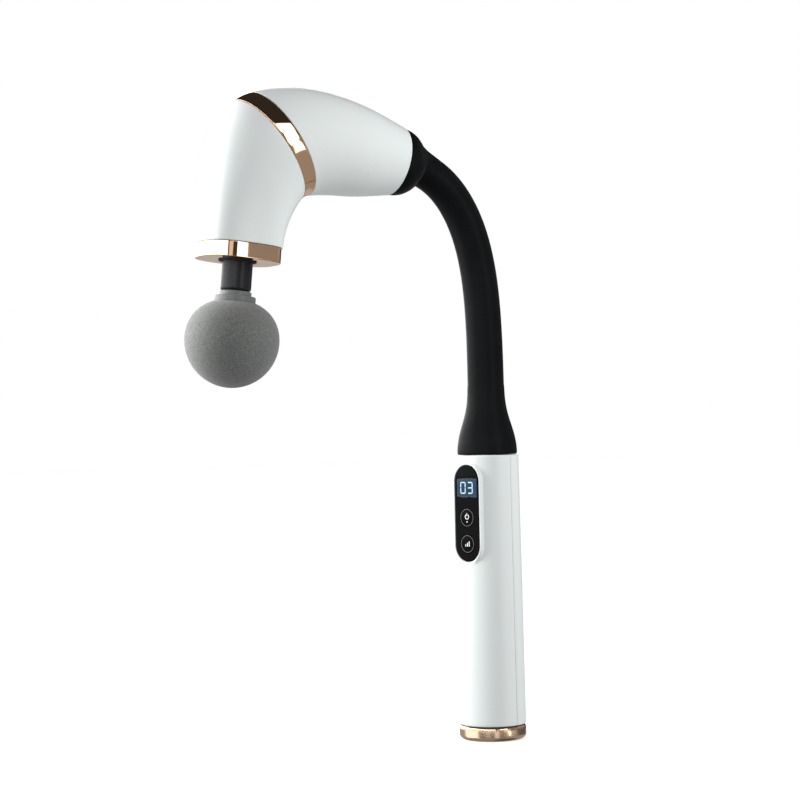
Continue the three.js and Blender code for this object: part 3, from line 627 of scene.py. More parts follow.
def build_panel():
    back = panel_face - LENS_THICKNESS
    low, high = extent("display_module", HANDLE)
    display_centre = (low.z + high.z) / 2
    width, height = high.y - low.y, high.z - low.z
    face = -low.x
    keys = {name: extent(name, HANDLE) for name in ("key_upper", "key_lower")}

    outline = pill(panel_width, panel_length, panel_centre, steps=40)
    lens = solid("lens", *panel_prism(outline, back, panel_face, 0.45))
    holes = [solid("window", *panel_prism(
        rounded_box(width + 2 * CLEARANCE, height + 2 * CLEARANCE, display_centre, 0.5),
        back - 1, panel_face + 1))]
    for key_low, key_high in keys.values():
        hole = circle(key_high.y - key_low.y + 2 * CLEARANCE, (key_low.z + key_high.z) / 2, 96)
        holes.append(solid("hole", *panel_prism(hole, back - 1, panel_face + 1)))
    lens = carve(lens, *holes)
    lens.transform(in_metres(HANDLE))
    finish_piece("panel_lens", lens, GLOSS_BLACK, "root", ["control_lens"],
                 crease=50)

    glass_centre = HANDLE @ (Vector((-face, 0, display_centre)) * MM)
    glass = solid("display_glass", *panel_prism(
        rounded_box(width, height, display_centre, 0.4), -high.x, face, 0.12), HANDLE)
    finish_piece("display_glass", glass, display_glass(glass_centre, width * MM, height * MM),
                 "root", ["display_module"])
    build_digits(face, display_centre, height)
    for name, (key_low, key_high) in keys.items():
        build_key(name, -key_high.x, -key_low.x, (key_low.z + key_high.z) / 2,
                  key_high.y - key_low.y)


BAR_THICKNESS = 0.66
DIGIT_HEIGHT, DIGIT_WIDTH, DIGIT_GAP = 0.60, 0.56, 0.60    # of the window, height, width
SEGMENTS = {                       # (x, z) ends of each bar on a unit-wide, two-high cell
    "top": ((0, 2), (1, 2)), "middle": ((0, 1), (1, 1)), "bottom": ((0, 0), (1, 0)),
    "upper_left": ((0, 1), (0, 2)), "upper_right": ((1, 1), (1, 2)),
    "lower_left": ((0, 0), (0, 1)), "lower_right": ((1, 0), (1, 1)),
}
DIGITS = {
    "0": ["top", "bottom", "upper_left", "upper_right", "lower_left", "lower_right"],
    "3": ["top", "middle", "bottom", "upper_right", "lower_right"],
}


def join_parts(parts):
    """One list of points and faces from several."""
    points, faces = [], []
    for part_points, part_faces in parts:
        offset = len(points)
        points.extend(part_points)
        faces.extend(tuple(i + offset for i in face) for face in part_faces)
    return points, faces


def bar(start, end, width):
    """Six-sided outline of a display bar between two points."""
    a, b = Vector(start), Vector(end)
    along = (b - a).normalized()
    across = Vector((-along.y, along.x)) * width / 2
    inset = along * width * 0.62
    tip = along * width * 0.12
    return [tuple(p) for p in (a + tip, a + inset - across, b - inset - across,
                               b - tip, b - inset + across, a + inset + across)]


def build_digits(face, centre, height):
    cell_height = height * DIGIT_HEIGHT
    cell_width = cell_height * DIGIT_WIDTH
    gap = cell_width * DIGIT_GAP
    parts = []
    for place, digit in ((-1, "0"), (1, "3")):
        left = place * (cell_width + gap) / 2 - cell_width / 2
        for segment in DIGITS[digit]:
            (x0, z0), (x1, z1) = SEGMENTS[segment]
            start = (left + x0 * cell_width, centre + (z0 - 1) * cell_height / 2)
            end = (left + x1 * cell_width, centre + (z1 - 1) * cell_height / 2)
            parts.append(panel_prism(bar(start, end, BAR_THICKNESS), face - 0.02, face + 0.1))
    points, faces = join_parts(parts)
    finish_piece("display_digits", solid("display_digits", points, faces, HANDLE),
                 DIGIT_PAINT, "root")


BARS = (1.2, 2.1, 3.0)             # heights of the three bars of the lower key's icon
BAR_WIDTH, BAR_PITCH = 0.62, 1.35
KEY_RING_INSET, KEY_RING_WIDTH = 0.62, 0.3
PRINT_LIFT = 0.03                  # the print stands this far above the key, and below it


def arc_outline(radius, width, start, end, centre, steps=28):
    """A bent strip with square ends, as one outline."""
    angles = [math.radians(start + (end - start) * k / steps) for k in range(steps + 1)]
    return [(r * math.cos(a), centre + r * math.sin(a))
            for r, way in ((radius + width / 2, angles), (radius - width / 2, angles[::-1]))
            for a in way]


def band_solid(radius, width, centre, back, front):
    """A thin raised ring lying on the panel."""
    inside, outside = 2 * radius - width, 2 * radius + width
    rings = [on_panel(circle(diameter, centre, 96), distance) for diameter, distance in (
        (inside, back), (outside, back), (outside, front), (inside, front))]
    return loft(rings, closed_loop=True)


def power_icon(centre):
    """A broken ring with a stroke in its gap, and a dot below."""
    return [arc_outline(1.35, 0.42, 125, 415, centre + 0.5),
            rounded_box(0.44, 1.7, centre + 1.7, 0.2, 3), circle(0.75, centre - 2.4, 20)]


def bars_icon(centre):
    """Three bars, each taller than the one before."""
    bars = []
    for place, tall in zip((-1, 0, 1), BARS):
        outline = rounded_box(BAR_WIDTH, tall, centre - BARS[-1] / 2 + tall / 2, 0.15, 3)
        bars.append([(x + place * BAR_PITCH, z) for x, z in outline])
    return bars


def build_key(name, back, face, centre, diameter):
    key = solid(name + "_cap", *panel_prism(circle(diameter, centre, 96), back, face, 0.35),
                HANDLE)
    finish_piece(name + "_cap", key, KEY_BLACK, name, [name])

    lift = (face - PRINT_LIFT, face + PRINT_LIFT)
    ring = band_solid(diameter / 2 - KEY_RING_INSET, KEY_RING_WIDTH, centre, *lift)
    finish_piece(name + "_ring", solid(name + "_ring", *ring, HANDLE), RING_PRINT, name)
    draw = power_icon if name == "key_upper" else bars_icon
    icon = join_parts([panel_prism(shape, *lift) for shape in draw(centre)])
    finish_piece(name + "_icon", solid(name + "_icon", *icon, HANDLE), ICON_PRINT, name)


# ---------------------------------------------------------------- neck

NECK_START = 164.4
NECK_LENGTH = 195.5
NECK_CURL_LENGTH = 183.2
NECK_BEND = math.radians(78.5)
NECK_EASE = 3.83
SLEEVE_LOW, SLEEVE_HIGH = 10.7, 9.9
SLEEVE_BORE = 8.4                  # wide enough for the tip of the core below it to swing
BALL_PLAY = 0.2                    # the ball end is this much smaller than the sleeve
BALL_MOUTH = 7.4                   # the ball end's opening, small enough for the largest bend
SOCKET_WALL = 0.12                 # the sleeve's wall at the rim of its socket
FOOT_EDGE = 1.15                   # rounding of the lower boot's bottom edge
FOOT_ROWS = [0.0, 0.08, 0.25, 0.5, 0.8, FOOT_EDGE]
SLEEVE_STEP, BOOT_STEP = 0.8, 0.5  # spacing of the rings on a sleeve and on the upper boot
NECK_SIDES = 64
NECK_JOINTS = ["neck_sway_lower", "neck_bend_lower", "neck_sway_upper", "neck_bend_middle",
               "neck_bend_upper", "neck_curl_lower", "neck_curl_middle", "neck_curl_upper"]


def neck_angle(distance):
    share = min(max(distance / NECK_CURL_LENGTH, 0.0), 1.0)
    return NECK_BEND * share ** NECK_EASE


def neck_line(step=0.5):
    """Points along the centre line: distance, x and z."""
    x, z, distance = 0.0, NECK_START, 0.0
    line = [(distance, x, z)]
    while distance < NECK_LENGTH - 1e-6:
        angle = neck_angle(distance + step / 2)
        x -= math.sin(angle) * step
        z += math.cos(angle) * step
        distance += step
        line.append((distance, x, z))
    return line


LINE = neck_line()
LINE_X, LINE_Z = ([(point[0], point[k]) for point in LINE] for k in (1, 2))


def between(x, points):
    return float(np.interp(x, [p[0] for p in points], [p[1] for p in points]))


def eased(points, count, passes):
    """A profile resampled and softened, so its corners are round."""
    xs = np.linspace(points[0][0], points[-1][0], count)
    ys = np.interp(xs, [p[0] for p in points], [p[1] for p in points])
    for _ in range(passes):
        ys[1:-1] = (ys[:-2] + 2 * ys[1:-1] + ys[2:]) / 4
    return list(zip(xs, ys))


# Radius against distance from the sleeve's lower end, over the lower boot.
LOWER_BOOT = eased([(0.7, 17.3), (2.8, 17.3), (6.1, 17.0), (10.6, 16.2), (14.0, 15.3),
                    (17.1, 14.35), (20.5, 13.3), (24.1, 12.35), (27.5, 11.65), (30.6, 11.2),
                    (35, 10.85), (40, 10.67)], 400, 40)
# Radius against distance behind the barrel's seam, over the upper boot, which is a dome on
# the inside of the bend and runs out slowly on the outside.
UPPER_BOOT = [(0.3, 19.3), (2.0, 19.15), (4, 18.8), (5.9, 18.2), (7.6, 17.45), (9.5, 16.2),
              (11.2, 14.9)]
UPPER_DOME = eased(UPPER_BOOT + [(12.5, 13.5), (13.6, 12.2), (15.0, 10.3), (17.0, 9.0)],
                   300, 4)
UPPER_SHOULDER = eased(UPPER_BOOT + [(12.8, 13.5), (14.4, 12.4), (16.5, 11.4), (19, 10.7),
                                     (22, 10.25), (26, 9.95), (30, 9.9)], 300, 12)


def sleeve_radius(distance, angle_round):
    """Radius of the silicone at a distance along it; angle 0 is the outside of the bend."""
    share = distance / NECK_LENGTH
    radius = SLEEVE_LOW + (SLEEVE_HIGH - SLEEVE_LOW) * share
    if distance < LOWER_BOOT[-1][0]:
        radius = max(radius, between(distance, LOWER_BOOT))
    behind = NECK_LENGTH - distance
    if behind < UPPER_SHOULDER[-1][0]:
        dome = max(radius, between(behind, UPPER_DOME))
        shoulder = max(radius, between(behind, UPPER_SHOULDER))
        outside = smooth((math.cos(angle_round) + 0.75) / 1.5)
        radius = dome + (shoulder - dome) * outside
    return radius


def neck_ring(distance, radius_at):
    """A ring of points round the centre line, square to it."""
    centre = Vector((between(distance, LINE_X), 0, between(distance, LINE_Z)))
    angle = neck_angle(distance)
    outward = Vector((math.cos(angle), 0, math.sin(angle)))
    ring = []
    for i in range(NECK_SIDES):
        turn = 2 * math.pi * i / NECK_SIDES
        direction = outward * math.cos(turn) + Vector((0, 1, 0)) * math.sin(turn)
        ring.append(centre + direction * radius_at(distance, turn))
    return ring


def nearest_distance(point):
    """Distance along the centre line of the place nearest to a joint."""
    fine = np.arange(0.0, NECK_LENGTH, 0.01)
    x, z = (np.interp(fine, *zip(*line)) for line in (LINE_X, LINE_Z))
    return float(fine[np.argmin((x - point.x) ** 2 + (z - point.z) ** 2)])


def build_neck():
    """One piece of sleeve per link. The lowest one spans the first joint and is tied to no
    body. Each of the others turns on the ball end of the one below."""
    joints = [joint_point(name) for name in NECK_JOINTS]
    at = [nearest_distance(point) for point in joints]
    cuts = [0.0] + at[1:] + [NECK_LENGTH - CLEARANCE]
    bodies = [f"neck_link_{i}" for i in range(1, 8)] + ["head"]
    last = len(cuts) - 2
    for i, body in enumerate(bodies):
        start, end = cuts[i], cuts[i + 1]
        step = BOOT_STEP if i == last else SLEEVE_STEP
        distances = list(np.linspace(start, end, max(int((end - start) / step), 8)))
        if i == 0:
            distances = FOOT_ROWS + [d for d in distances if d > 1.3]
        mesh = sleeve_mesh(distances, foot=i == 0, dome=i < last)
        replaced = ["neck_boot_upper"] if i == last else [f"neck_sleeve_{i + 1}"]
        if i == 0:
            replaced.append("neck_boot_lower")
        piece = finish_piece(f"sleeve_{i + 1}", mesh, SILICONE, body if i else None,
                             replaced, crease=None)
        piece.visible_glossy = False
        if i == 0:
            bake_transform(piece)


def boot_foot(distance, turn):
    """The lower boot's rounded bottom edge."""
    return sleeve_radius(max(distance, 1.2), turn) - rounding(distance / FOOT_EDGE, 1.0)


def ball_rings(distance, steps=10):
    """Rings and normals of the ball end above a sleeve, centred on the joint."""
    angle = neck_angle(distance)
    along = Vector((-math.sin(angle), 0, math.cos(angle)))
    equator = neck_ring(distance, lambda *_: 0.0)[0]
    smallest = min(sleeve_radius(distance, turn) for turn in (0.0, math.pi)) - BALL_PLAY
    top = math.acos((BALL_MOUTH + 0.3) / smallest)
    rings, normals = [], []
    for tilt in np.linspace(0, top, steps + 1)[1:]:
        play = BALL_PLAY * smooth(tilt / math.radians(6))
        sides = neck_ring(distance, lambda d, turn: sleeve_radius(d, turn) - play)
        ring = []
        for side in sides:
            out = side - equator
            ring.append(equator + out * math.cos(tilt) + along * out.length * math.sin(tilt))
            normals.append(out.normalized() * math.cos(tilt) + along * math.sin(tilt))
        rings.append(ring)
    rim = neck_ring(distance, lambda *_: BALL_MOUTH)
    height = along * smallest * math.sin(top)
    return rings, normals, [point + height for point in rim]


def socket_bore(distance, start):
    """The bore widens at a sleeve's lower end to clear the ball of the sleeve below."""
    rim = sleeve_radius(start, math.pi) - SOCKET_WALL
    above = min(distance - start, rim)
    return max(SLEEVE_BORE, math.sqrt(rim ** 2 - above ** 2))


def sleeve_mesh(distances, foot, dome):
    """A tube of sleeve with its bore, a socket below unless it is the foot, and a ball end."""
    outer_at = boot_foot if foot else sleeve_radius
    outer = [neck_ring(d, outer_at) for d in distances]
    normals = ring_normals(distances, outer_at)
    bore = (lambda *_: SLEEVE_BORE) if foot else (lambda d, _: socket_bore(d, distances[0]))
    inner = [neck_ring(d, bore) for d in distances]
    if dome:
        rings, more, rim = ball_rings(distances[-1])
        outer += rings
        normals += more
        inner.append(rim)
    points, faces = loft(outer + inner[::-1], closed_loop=True)
    mesh = bpy.data.meshes.new("sleeve")
    mesh.from_pydata([tuple(Vector(p) * MM) for p in points], [], faces)
    mesh.shade_smooth()
    mesh.update()
    smooth_faces = (len(outer) - 1) * NECK_SIDES
    loops = []
    for k, polygon in enumerate(mesh.polygons):
        for vertex in polygon.vertices:
            loops.append(tuple(normals[vertex] if k < smooth_faces else polygon.normal))
    mesh.normals_split_custom_set(loops)
    return mesh


def ring_normals(distances, radius_at):
    """Outward normals of the sleeve's surface, the same on both sides of a cut."""
    normals = []
    small = 0.15
    for d in distances:
        low = neck_ring(max(d - small, 0.0), radius_at)
        high = neck_ring(min(d + small, NECK_LENGTH), radius_at)
        ring = neck_ring(d, radius_at)
        for i in range(NECK_SIDES):
            round_way = ring[(i + 1) % NECK_SIDES] - ring[i - 1]
            along = high[i] - low[i]
            normals.append(round_way.cross(along).normalized())
    return normals


# ---------------------------------------------------------------- head

HEAD_WALL = 2.4
SEAM_RADIUS = 19.6
BAND_START, BAND_END = 0.464, 0.534       # shares of the head's length
BAND_LEAN = 0.0128
HEAD_TRAVEL = 160.0                # rough length of the head's middle line
HEAD_SIDES = 144
seam_point = Vector((LINE[-1][1], 0, LINE[-1][2]))
seam_direction = Vector((-math.sin(NECK_BEND), 0, math.cos(NECK_BEND)))
plate_low, plate_high = extent("nose_plate", DRIVE)
PLATE_HALF_DEPTH, PLATE_HALF_WIDTH, PLATE_SQUARENESS = plate_high.x, plate_high.y, 2.9
NOSE_LIP = 0.5
PLATE_EDGE = 0.35                  # rounding of the plate's lower edge


def seam_rim(side):
    return (seam_point.x + side * SEAM_RADIUS * seam_direction.z,
            seam_point.z - side * SEAM_RADIUS * seam_direction.x)


def on_plate(along, above):
    point = DRIVE @ Vector((along, 0, above))
    return (point.x, point.z)


def catmull(points, share):
    """A point on the uniform Catmull-Rom curve through the points."""
    last = len(points) - 1
    place = last * min(max(share, 0.0), 1.0)
    k = min(int(place), last - 1)
    t = place - k
    p0, p1 = np.array(points[max(k - 1, 0)]), np.array(points[k])
    p2, p3 = np.array(points[k + 1]), np.array(points[min(k + 2, last)])
    v0, v1 = (p2 - p0) / 2, (p3 - p1) / 2
    return (2 * p1 - 2 * p2 + v0 + v1) * t ** 3 + (-3 * p1 + 3 * p2 - 2 * v0 - v1) * t ** 2 \
        + v0 * t + p1


OUTER_EDGE = [seam_rim(1), (-86, 363.8), (-124, 369.8), (-156.6, 363), (-172, 341.5),
              (-177, 315), on_plate(-PLATE_HALF_DEPTH - NOSE_LIP, plate_high.z + CLEARANCE)]
INNER_EDGE = [seam_rim(-1), (-84, 310.9), (-102, 311.2), (-118.2, 309), (-127, 298.5),
              (-132, 288), on_plate(PLATE_HALF_DEPTH + NOSE_LIP, plate_high.z + CLEARANCE)]
SECTION = [(SEAM_RADIUS, 2), (26, 2), (29.5, 2), (30, 2.05), (26.5, 2.2), (22.6, 2.5),
           (PLATE_HALF_WIDTH + NOSE_LIP, PLATE_SQUARENESS)]

SAMPLES = 481


def soft_curve(points, passes=260):
    """The curve through the points, with the kinks in its curvature rubbed out. The ends
    and their slopes stay."""
    table = np.array([catmull(points, i / (SAMPLES - 1)) for i in range(SAMPLES)])
    for _ in range(passes):
        middle = (table[:-4] + 4 * table[1:-3] + 6 * table[2:-2] + 4 * table[3:-1]
                  + table[4:]) / 16
        table[2:-2] = middle
    return table


OUTER_CURVE, INNER_CURVE, SECTION_CURVE = map(soft_curve, (OUTER_EDGE, INNER_EDGE, SECTION))


def table_point(table, share):
    place = share * (SAMPLES - 1)
    k = min(int(place), SAMPLES - 2)
    return table[k] + (table[k + 1] - table[k]) * (place - k)


def oval(centre, u, v, squareness):
    ring = []
    for c, s in unit_circle(HEAD_SIDES):
        along = math.copysign(abs(c) ** (2 / squareness), c)
        across = math.copysign(abs(s) ** (2 / squareness), s)
        ring.append(centre + u * along + v * across)
    return ring


def head_ring(share, inset):
    """A section of the head. Near the trim band the sections lean, as its front edge does."""
    lean = BAND_LEAN * smooth((share - BAND_START) / (BAND_END - BAND_START)) \
        * (1 - smooth((share - BAND_END) / 0.2))
    outer = table_point(OUTER_CURVE, share - lean)
    inner = table_point(INNER_CURVE, share + lean)
    half_width, squareness = table_point(SECTION_CURVE, share)
    centre = Vector(((outer[0] + inner[0]) / 2, 0, (outer[1] + inner[1]) / 2))
    half = Vector(((outer[0] - inner[0]) / 2, 0, (outer[1] - inner[1]) / 2))
    half = half.normalized() * (half.length - inset)
    return oval(centre, half, Vector((0, half_width - inset, 0)), squareness)


def head_tube(start, end, steps, edge_start, edge_end):
    """A closed shell between two shares of the head, with rounded rims."""
    corner = [(0.0, 1.0), (0.08, 0.62), (0.29, 0.29), (0.62, 0.08), (1.0, 0.0)]
    first, last = edge_start / HEAD_TRAVEL, edge_end / HEAD_TRAVEL
    rings = [(start + along * first, inset * edge_start) for along, inset in corner]
    rings += [(share, 0.0) for share in np.linspace(start + first, end - last, steps + 1)[1:-1]]
    rings += [(end - along * last, inset * edge_end) for along, inset in corner[::-1]]
    rings += [(share, HEAD_WALL) for share in np.linspace(end, start, max(steps // 3, 3))]
    return loft([head_ring(share, inset) for share, inset in rings], closed_loop=True)


def build_head():
    """The barrel's lip, whose lighter white is a painted highlight, the barrel, the trim band
    and the nose, with fine gaps.
    """
    gap, rim, seam = (size / HEAD_TRAVEL for size in (0.35, 1.3, 0.1))
    for name, tube, material, slot, replaced in (
            # The lip's lighter white is a painted highlight along the barrel's rear rim.
            ("barrel_lip", (0.0, rim, 4, 0.6, 0.25), RIM_PAINTED_HIGHLIGHT, "white_shell", []),
            ("barrel", (rim + seam, BAND_START - gap, 60, 0.15, 0.22), WHITE,
             "white_shell", ["barrel_shell"]),
            ("band", (BAND_START, BAND_END, 10, 0.3, 0.3), ROSE, "rose_gold",
             ["trim_band"]),
            ("nose", (BAND_END + gap, 1.0, 72, 0.22, 0.35), WHITE, "white_shell",
             ["nose_shell"])):
        finish_piece(name, solid(name, *head_tube(*tube)), material, "head", replaced,
                     crease=60)


def plate_ring(height, inset):
    return oval(Vector((0, 0, height)), Vector((PLATE_HALF_DEPTH - inset, 0, 0)),
                Vector((0, PLATE_HALF_WIDTH - inset, 0)), PLATE_SQUARENESS)


def round_ring(height, radius):
    return [Vector((radius * c, radius * s, height)) for c, s in unit_circle(HEAD_SIDES)]


def build_plate():
    low, high = plate_low.z, plate_high.z
    seal_low, seal_high = extent("plunger_seal", DRIVE)
    hole = seal_high.x + CLEARANCE
    rings = [plate_ring(high, 2.0), plate_ring(high, 0.05), plate_ring(high - 0.05, 0.0),
             plate_ring(high - 0.25, 0.0), plate_ring(low + PLATE_EDGE + 0.2, 0.0)]
    for angle in np.linspace(0, math.pi / 2, 6):
        rings.append(plate_ring(low + PLATE_EDGE * (1 - math.sin(angle)),
                                PLATE_EDGE * (1 - math.cos(angle))))
    flat = plate_ring(low, PLATE_EDGE + 0.3)
    rings.append(flat)
    rim = round_ring(low, hole + 0.3)
    rings += [[a.lerp(b, share) for a, b in zip(flat, rim)] for share in (0.33, 0.66, 1.0)]
    rings += [round_ring(low + 0.3, hole), round_ring(low + 4, hole),
              round_ring(low + 4, hole + 2)]
    plate = solid("plate", *loft(rings, closed_loop=True), DRIVE)
    finish_piece("plate", plate, ROSE, "head", ["nose_plate"], crease=50)

    inside = extent("plunger", DRIVE)[1].y + 0.15
    lip = fillet([(inside, seal_low.z + 0.25, 0.1), (inside + 0.5, seal_low.z, 0.15),
                  (seal_high.x - 0.1, seal_low.z, 0.25), (seal_high.x, seal_high.z, 0.1),
                  (inside, seal_high.z, 0.1)], steps=4)
    finish_piece("shaft_seal", solid("shaft_seal", *lathe(lip, 128), DRIVE), BLACK_RUBBER,
                 "head", ["plunger_seal"])


ROD_SLOT, ROD_SLOT_DEPTH = 3.3, 18.7       # half width and depth of the rod's slot
WRIST_RADIUS, WRIST_DROP = 2.2, 5.5        # the wrist pin's stubs, below the plunger's top


def build_plunger():
    """A sleeve with a socket for the ball's stem, and a slot with pin stubs for the rod."""
    low, high = extent("plunger", DRIVE)
    radius = high.y
    socket, socket_top = 4.5, extent("ball_core", DRIVE)[1].z + 1
    body = fillet([(0, socket_top, 0), (socket, socket_top, 0.2), (socket, low.z, 0.3),
                   (radius, low.z, 1.3), (radius, high.z, 0.6), (0, high.z, 0)], steps=8)
    sleeve = solid("sleeve_body", *lathe(body, 128))
    slot = [(x * ROD_SLOT, y * 10) for x, y in ((-1, -1), (1, -1), (1, 1), (-1, 1))]
    cutter = solid("slot", *loft([[(x, y, z) for x, y in slot]
                                  for z in (high.z - ROD_SLOT_DEPTH, high.z + 1)]))
    sleeve = carve(sleeve, cutter)
    pin = circle(2 * WRIST_RADIUS, high.z - WRIST_DROP, 40)
    stubs = [solid("stub", *loft([[(x, y, z) for y, z in pin] for x in ends]))
             for ends in ((-7.0, -3.0), (3.0, 7.0))]
    sleeve = carve(sleeve, *stubs, operation="UNION")
    sleeve.transform(in_metres(DRIVE))
    finish_piece("plunger_sleeve", sleeve, SATIN_BLACK, "plunger",
                 ["plunger"], crease=45)


SMALL_DISC, STEM, CORE_FOOT = 8.8, 4.2, 9.0     # radii on the ball's core
BALL_SQUEEZE = 0.12                # how much the foam is flattened under the collar
GRAIN_DEPTH = 0.07


def build_ball():
    """The stepped collar and stem, and the foam ball moulded round them."""
    core_low, core_high = extent("ball_core", DRIVE)
    ball_low, ball_high = extent("massage_ball", DRIVE)
    radius = ball_high.x
    centre = ball_low.z + radius
    large_disc = core_high.x
    seat = large_disc + 0.4

    def skin(angle):
        c = max(math.cos(angle), 0.0)
        return (radius * math.sin(angle),
                centre + radius * math.cos(angle) * (1 - BALL_SQUEEZE * c ** 1.5))

    seat_angle = math.asin(seat / radius)
    rim = skin(seat_angle)[1]
    collar_low, step = rim - 0.7, rim + 3.3
    collar_top = extent("plunger", DRIVE)[0].z - 0.4
    core = fillet([
        (0, core_low.z, 0), (CORE_FOOT, core_low.z, 0.3), (CORE_FOOT, collar_low, 0.1),
        (large_disc, collar_low, 0.3), (large_disc, step, 0.55), (SMALL_DISC, step, 0.25),
        (SMALL_DISC, collar_top, 0.5), (STEM, collar_top, 0.2), (STEM, core_high.z, 0.6),
        (0, core_high.z, 0)], steps=5)
    finish_piece("ball_collar", solid("ball_collar", *lathe(core, 128), DRIVE), COLLAR,
                 "ball", ["ball_core"])

    pocket = CORE_FOOT + CLEARANCE
    steps = 96
    outside = [skin(seat_angle + (math.pi - seat_angle) * k / steps) for k in range(steps)]
    profile = [(0, core_low.z - CLEARANCE), (pocket, core_low.z - CLEARANCE),
               (pocket, collar_low - CLEARANCE), (seat - 0.5, collar_low - CLEARANCE),
               (seat, collar_low - 0.1)] + outside[1:] + [(0, centre - radius)]
    ball = solid("ball_foam", *lathe(profile, 192))
    pebble(ball, centre, seat)
    ball.transform(in_metres(DRIVE))
    finish_piece("ball_foam", ball, FOAM, "ball", ["massage_ball"], crease=50)


def pebble(mesh, centre, seat):
    """Pushes the ball's skin in by up to GRAIN_DEPTH in a fine random grain."""
    rng = np.random.default_rng(7)
    middle = Vector((0, 0, centre * MM))
    for vertex in mesh.vertices:
        away = vertex.co - middle
        flat = math.hypot(vertex.co.x, vertex.co.y)
        if flat > seat * MM * 1.05 or vertex.co.z < middle.z:
            vertex.co -= away.normalized() * float(rng.uniform(0, GRAIN_DEPTH)) * MM


# ---------------------------------------------------------------- carried-over CAD nodes

CARRIED = (
    (STEEL, ["charge_port", "neck_core_foot", "neck_core_tip", "motor_can", "eccentric",
             "rod_bearing"] + [f"neck_core_{i}" for i in range(1, 8)]),
    (DARK_STEEL, ["switch_upper", "switch_lower", "neck_socket_lower", "neck_socket_upper",
                  "clamp_screw_left", "clamp_screw_right", "motor_screw_1", "motor_screw_2",
                  "motor_rotor"]),
    (BRASS, ["guide_bushing", "connecting_rod"]),
    (COPPER, ["motor_stator"]),
    (CIRCUIT, ["charge_board", "main_board", "driver_board"]),
    (CELL_WRAP, ["cell_lower", "cell_upper"]),
    (INNER_PLASTIC, ["battery_cradle", "motor_bracket"]),
    (BLACK_RUBBER, ["damping_ring"]),
)


def dress_carried():
    """Gives the inner CAD nodes, which keep their shape, materials of their own."""
    for material, names in CARRIED:
        for name in names:
            mesh = frame["nodes"][name].data
            mesh.materials.clear()
            mesh.materials.append(material)


# ---------------------------------------------------------------- studio

SUBJECT = Vector((-0.075, 0.0, 0.21))
VIEW_FORWARD = Vector((0.5, math.sqrt(0.75), 0.0))
VIEW_RIGHT = Vector((math.sqrt(0.75), -0.5, 0.0))
UP = Vector((0, 0, 1))

FLOOR_REACH = 9.0
FLOOR_DROP = 0.0002                # the floor lies this far below the object
FLOOR_FADE = (-0.55, -0.22)        # metres along VIEW_FORWARD in which the floor turns white
FLOOR_GLOW = (0.02, 0.52)

ROOM_LEVEL, ROOM_CEILING = 0.78, 0.20
ROOM_RIGHT, ROOM_UP, ROOM_NEAR = 0.22, 0.38, -0.20    # how brightness grows each way
BACKDROP_GREY = 0.5                # brightness of the backdrop on the photographer's side
WALL_GREY = 0.33
CEILING_GREY = 0.028
ROOM_CEILING_EDGE = (0.72, 0.2)    # height of a direction, and softness
MIRRORED_CEILING_EDGE = (33.0, 0.8)        # elevation and softness
BACKDROP_EDGE = (-0.25, 0.45)      # nearness of a direction, and softness
SLANT = (0.8, -2.4)                # lean of one soft box: degrees per degree, and offset
SLANTED_BOX = ((45, 53), (-11, 37), 0.7)
BOX_WHITE = 3.0
WALL_ZONES = (                     # azimuths, elevations, softness, brightness
    ((-200, 30), (-90, -38), 4.0, 0.27),
    ((30, 200), (-90, -44), 4.0, 0.10),
    ((-112, -54), (-32, 2), 3.0, 1.4),
    ((-54, 3), (-32, 2), 3.0, 0.20),
    ((-26, -12), (-32, 2), 3.0, 0.42),
    ((5, 20), (-32, 2), 3.0, 0.80),
    ((20, 46), (-32, -2), 3.0, 0.20),
    ((58, 82), (-11, 0), 2.0, 0.45),
    ((90, 150), (-14, -1), 4.0, 0.10),
    ((-200, -150), (-28, 1), 1.0, 0.47),
    ((150, 200), (-28, 1), 1.0, 0.47),
    ((-200, 7), (1, 37), 0.7, BOX_WHITE),
    ((7, 12.5), (1, 37), 0.7, 0.14),
    ((12.5, 25), (1, 37), 0.7, 0.80),
    ((25, 36.5), (-2, 16), 0.7, 0.05),
    ((25, 36.5), (16, 37), 0.7, BOX_WHITE),
    ((36.5, 50), (-2, 37), 0.7, BOX_WHITE),
    ((53, 146), (0, 37), 0.7, 0.29),
    ((146, 179), (-4, 37), 2.0, 0.04),
    ((-54, -18), (15, 24), 1.0, 0.04),
    ((-8, 3), (15, 24), 1.0, 0.04),
    ((50, 80), (15, 24), 1.0, 0.06),
)


def build_floor():
    """A floor for the camera only. It is white under and behind the object as photographed
    and fades to pale grey towards the photographer. It casts no light back."""
    corners = [(x * FLOOR_REACH, y * FLOOR_REACH, 0)
               for x, y in ((-1, -1), (1, -1), (1, 1), (-1, 1))]
    mesh = bpy.data.meshes.new("studio_floor")
    mesh.from_pydata(corners, [], [(0, 1, 2, 3)])
    surface = Surface("studio_floor", (0.8, 0.8, 0.8), 0.9)
    surface.tint(surface.noise(3, 2), (0.79, 0.79, 0.79), (0.81, 0.81, 0.81))
    depth = surface.dot(surface.position, VIEW_FORWARD)
    surface.glow((1, 1, 1, 1), surface.spread(depth, FLOOR_FADE, FLOOR_GLOW, "SMOOTHSTEP"))
    mesh.materials.append(surface.material)
    floor = bpy.data.objects.new("studio_floor", mesh)
    scene.collection.objects.link(floor)
    floor.location.z = cad_box[0].z - FLOOR_DROP
    floor.visible_diffuse = False
    floor.visible_glossy = False


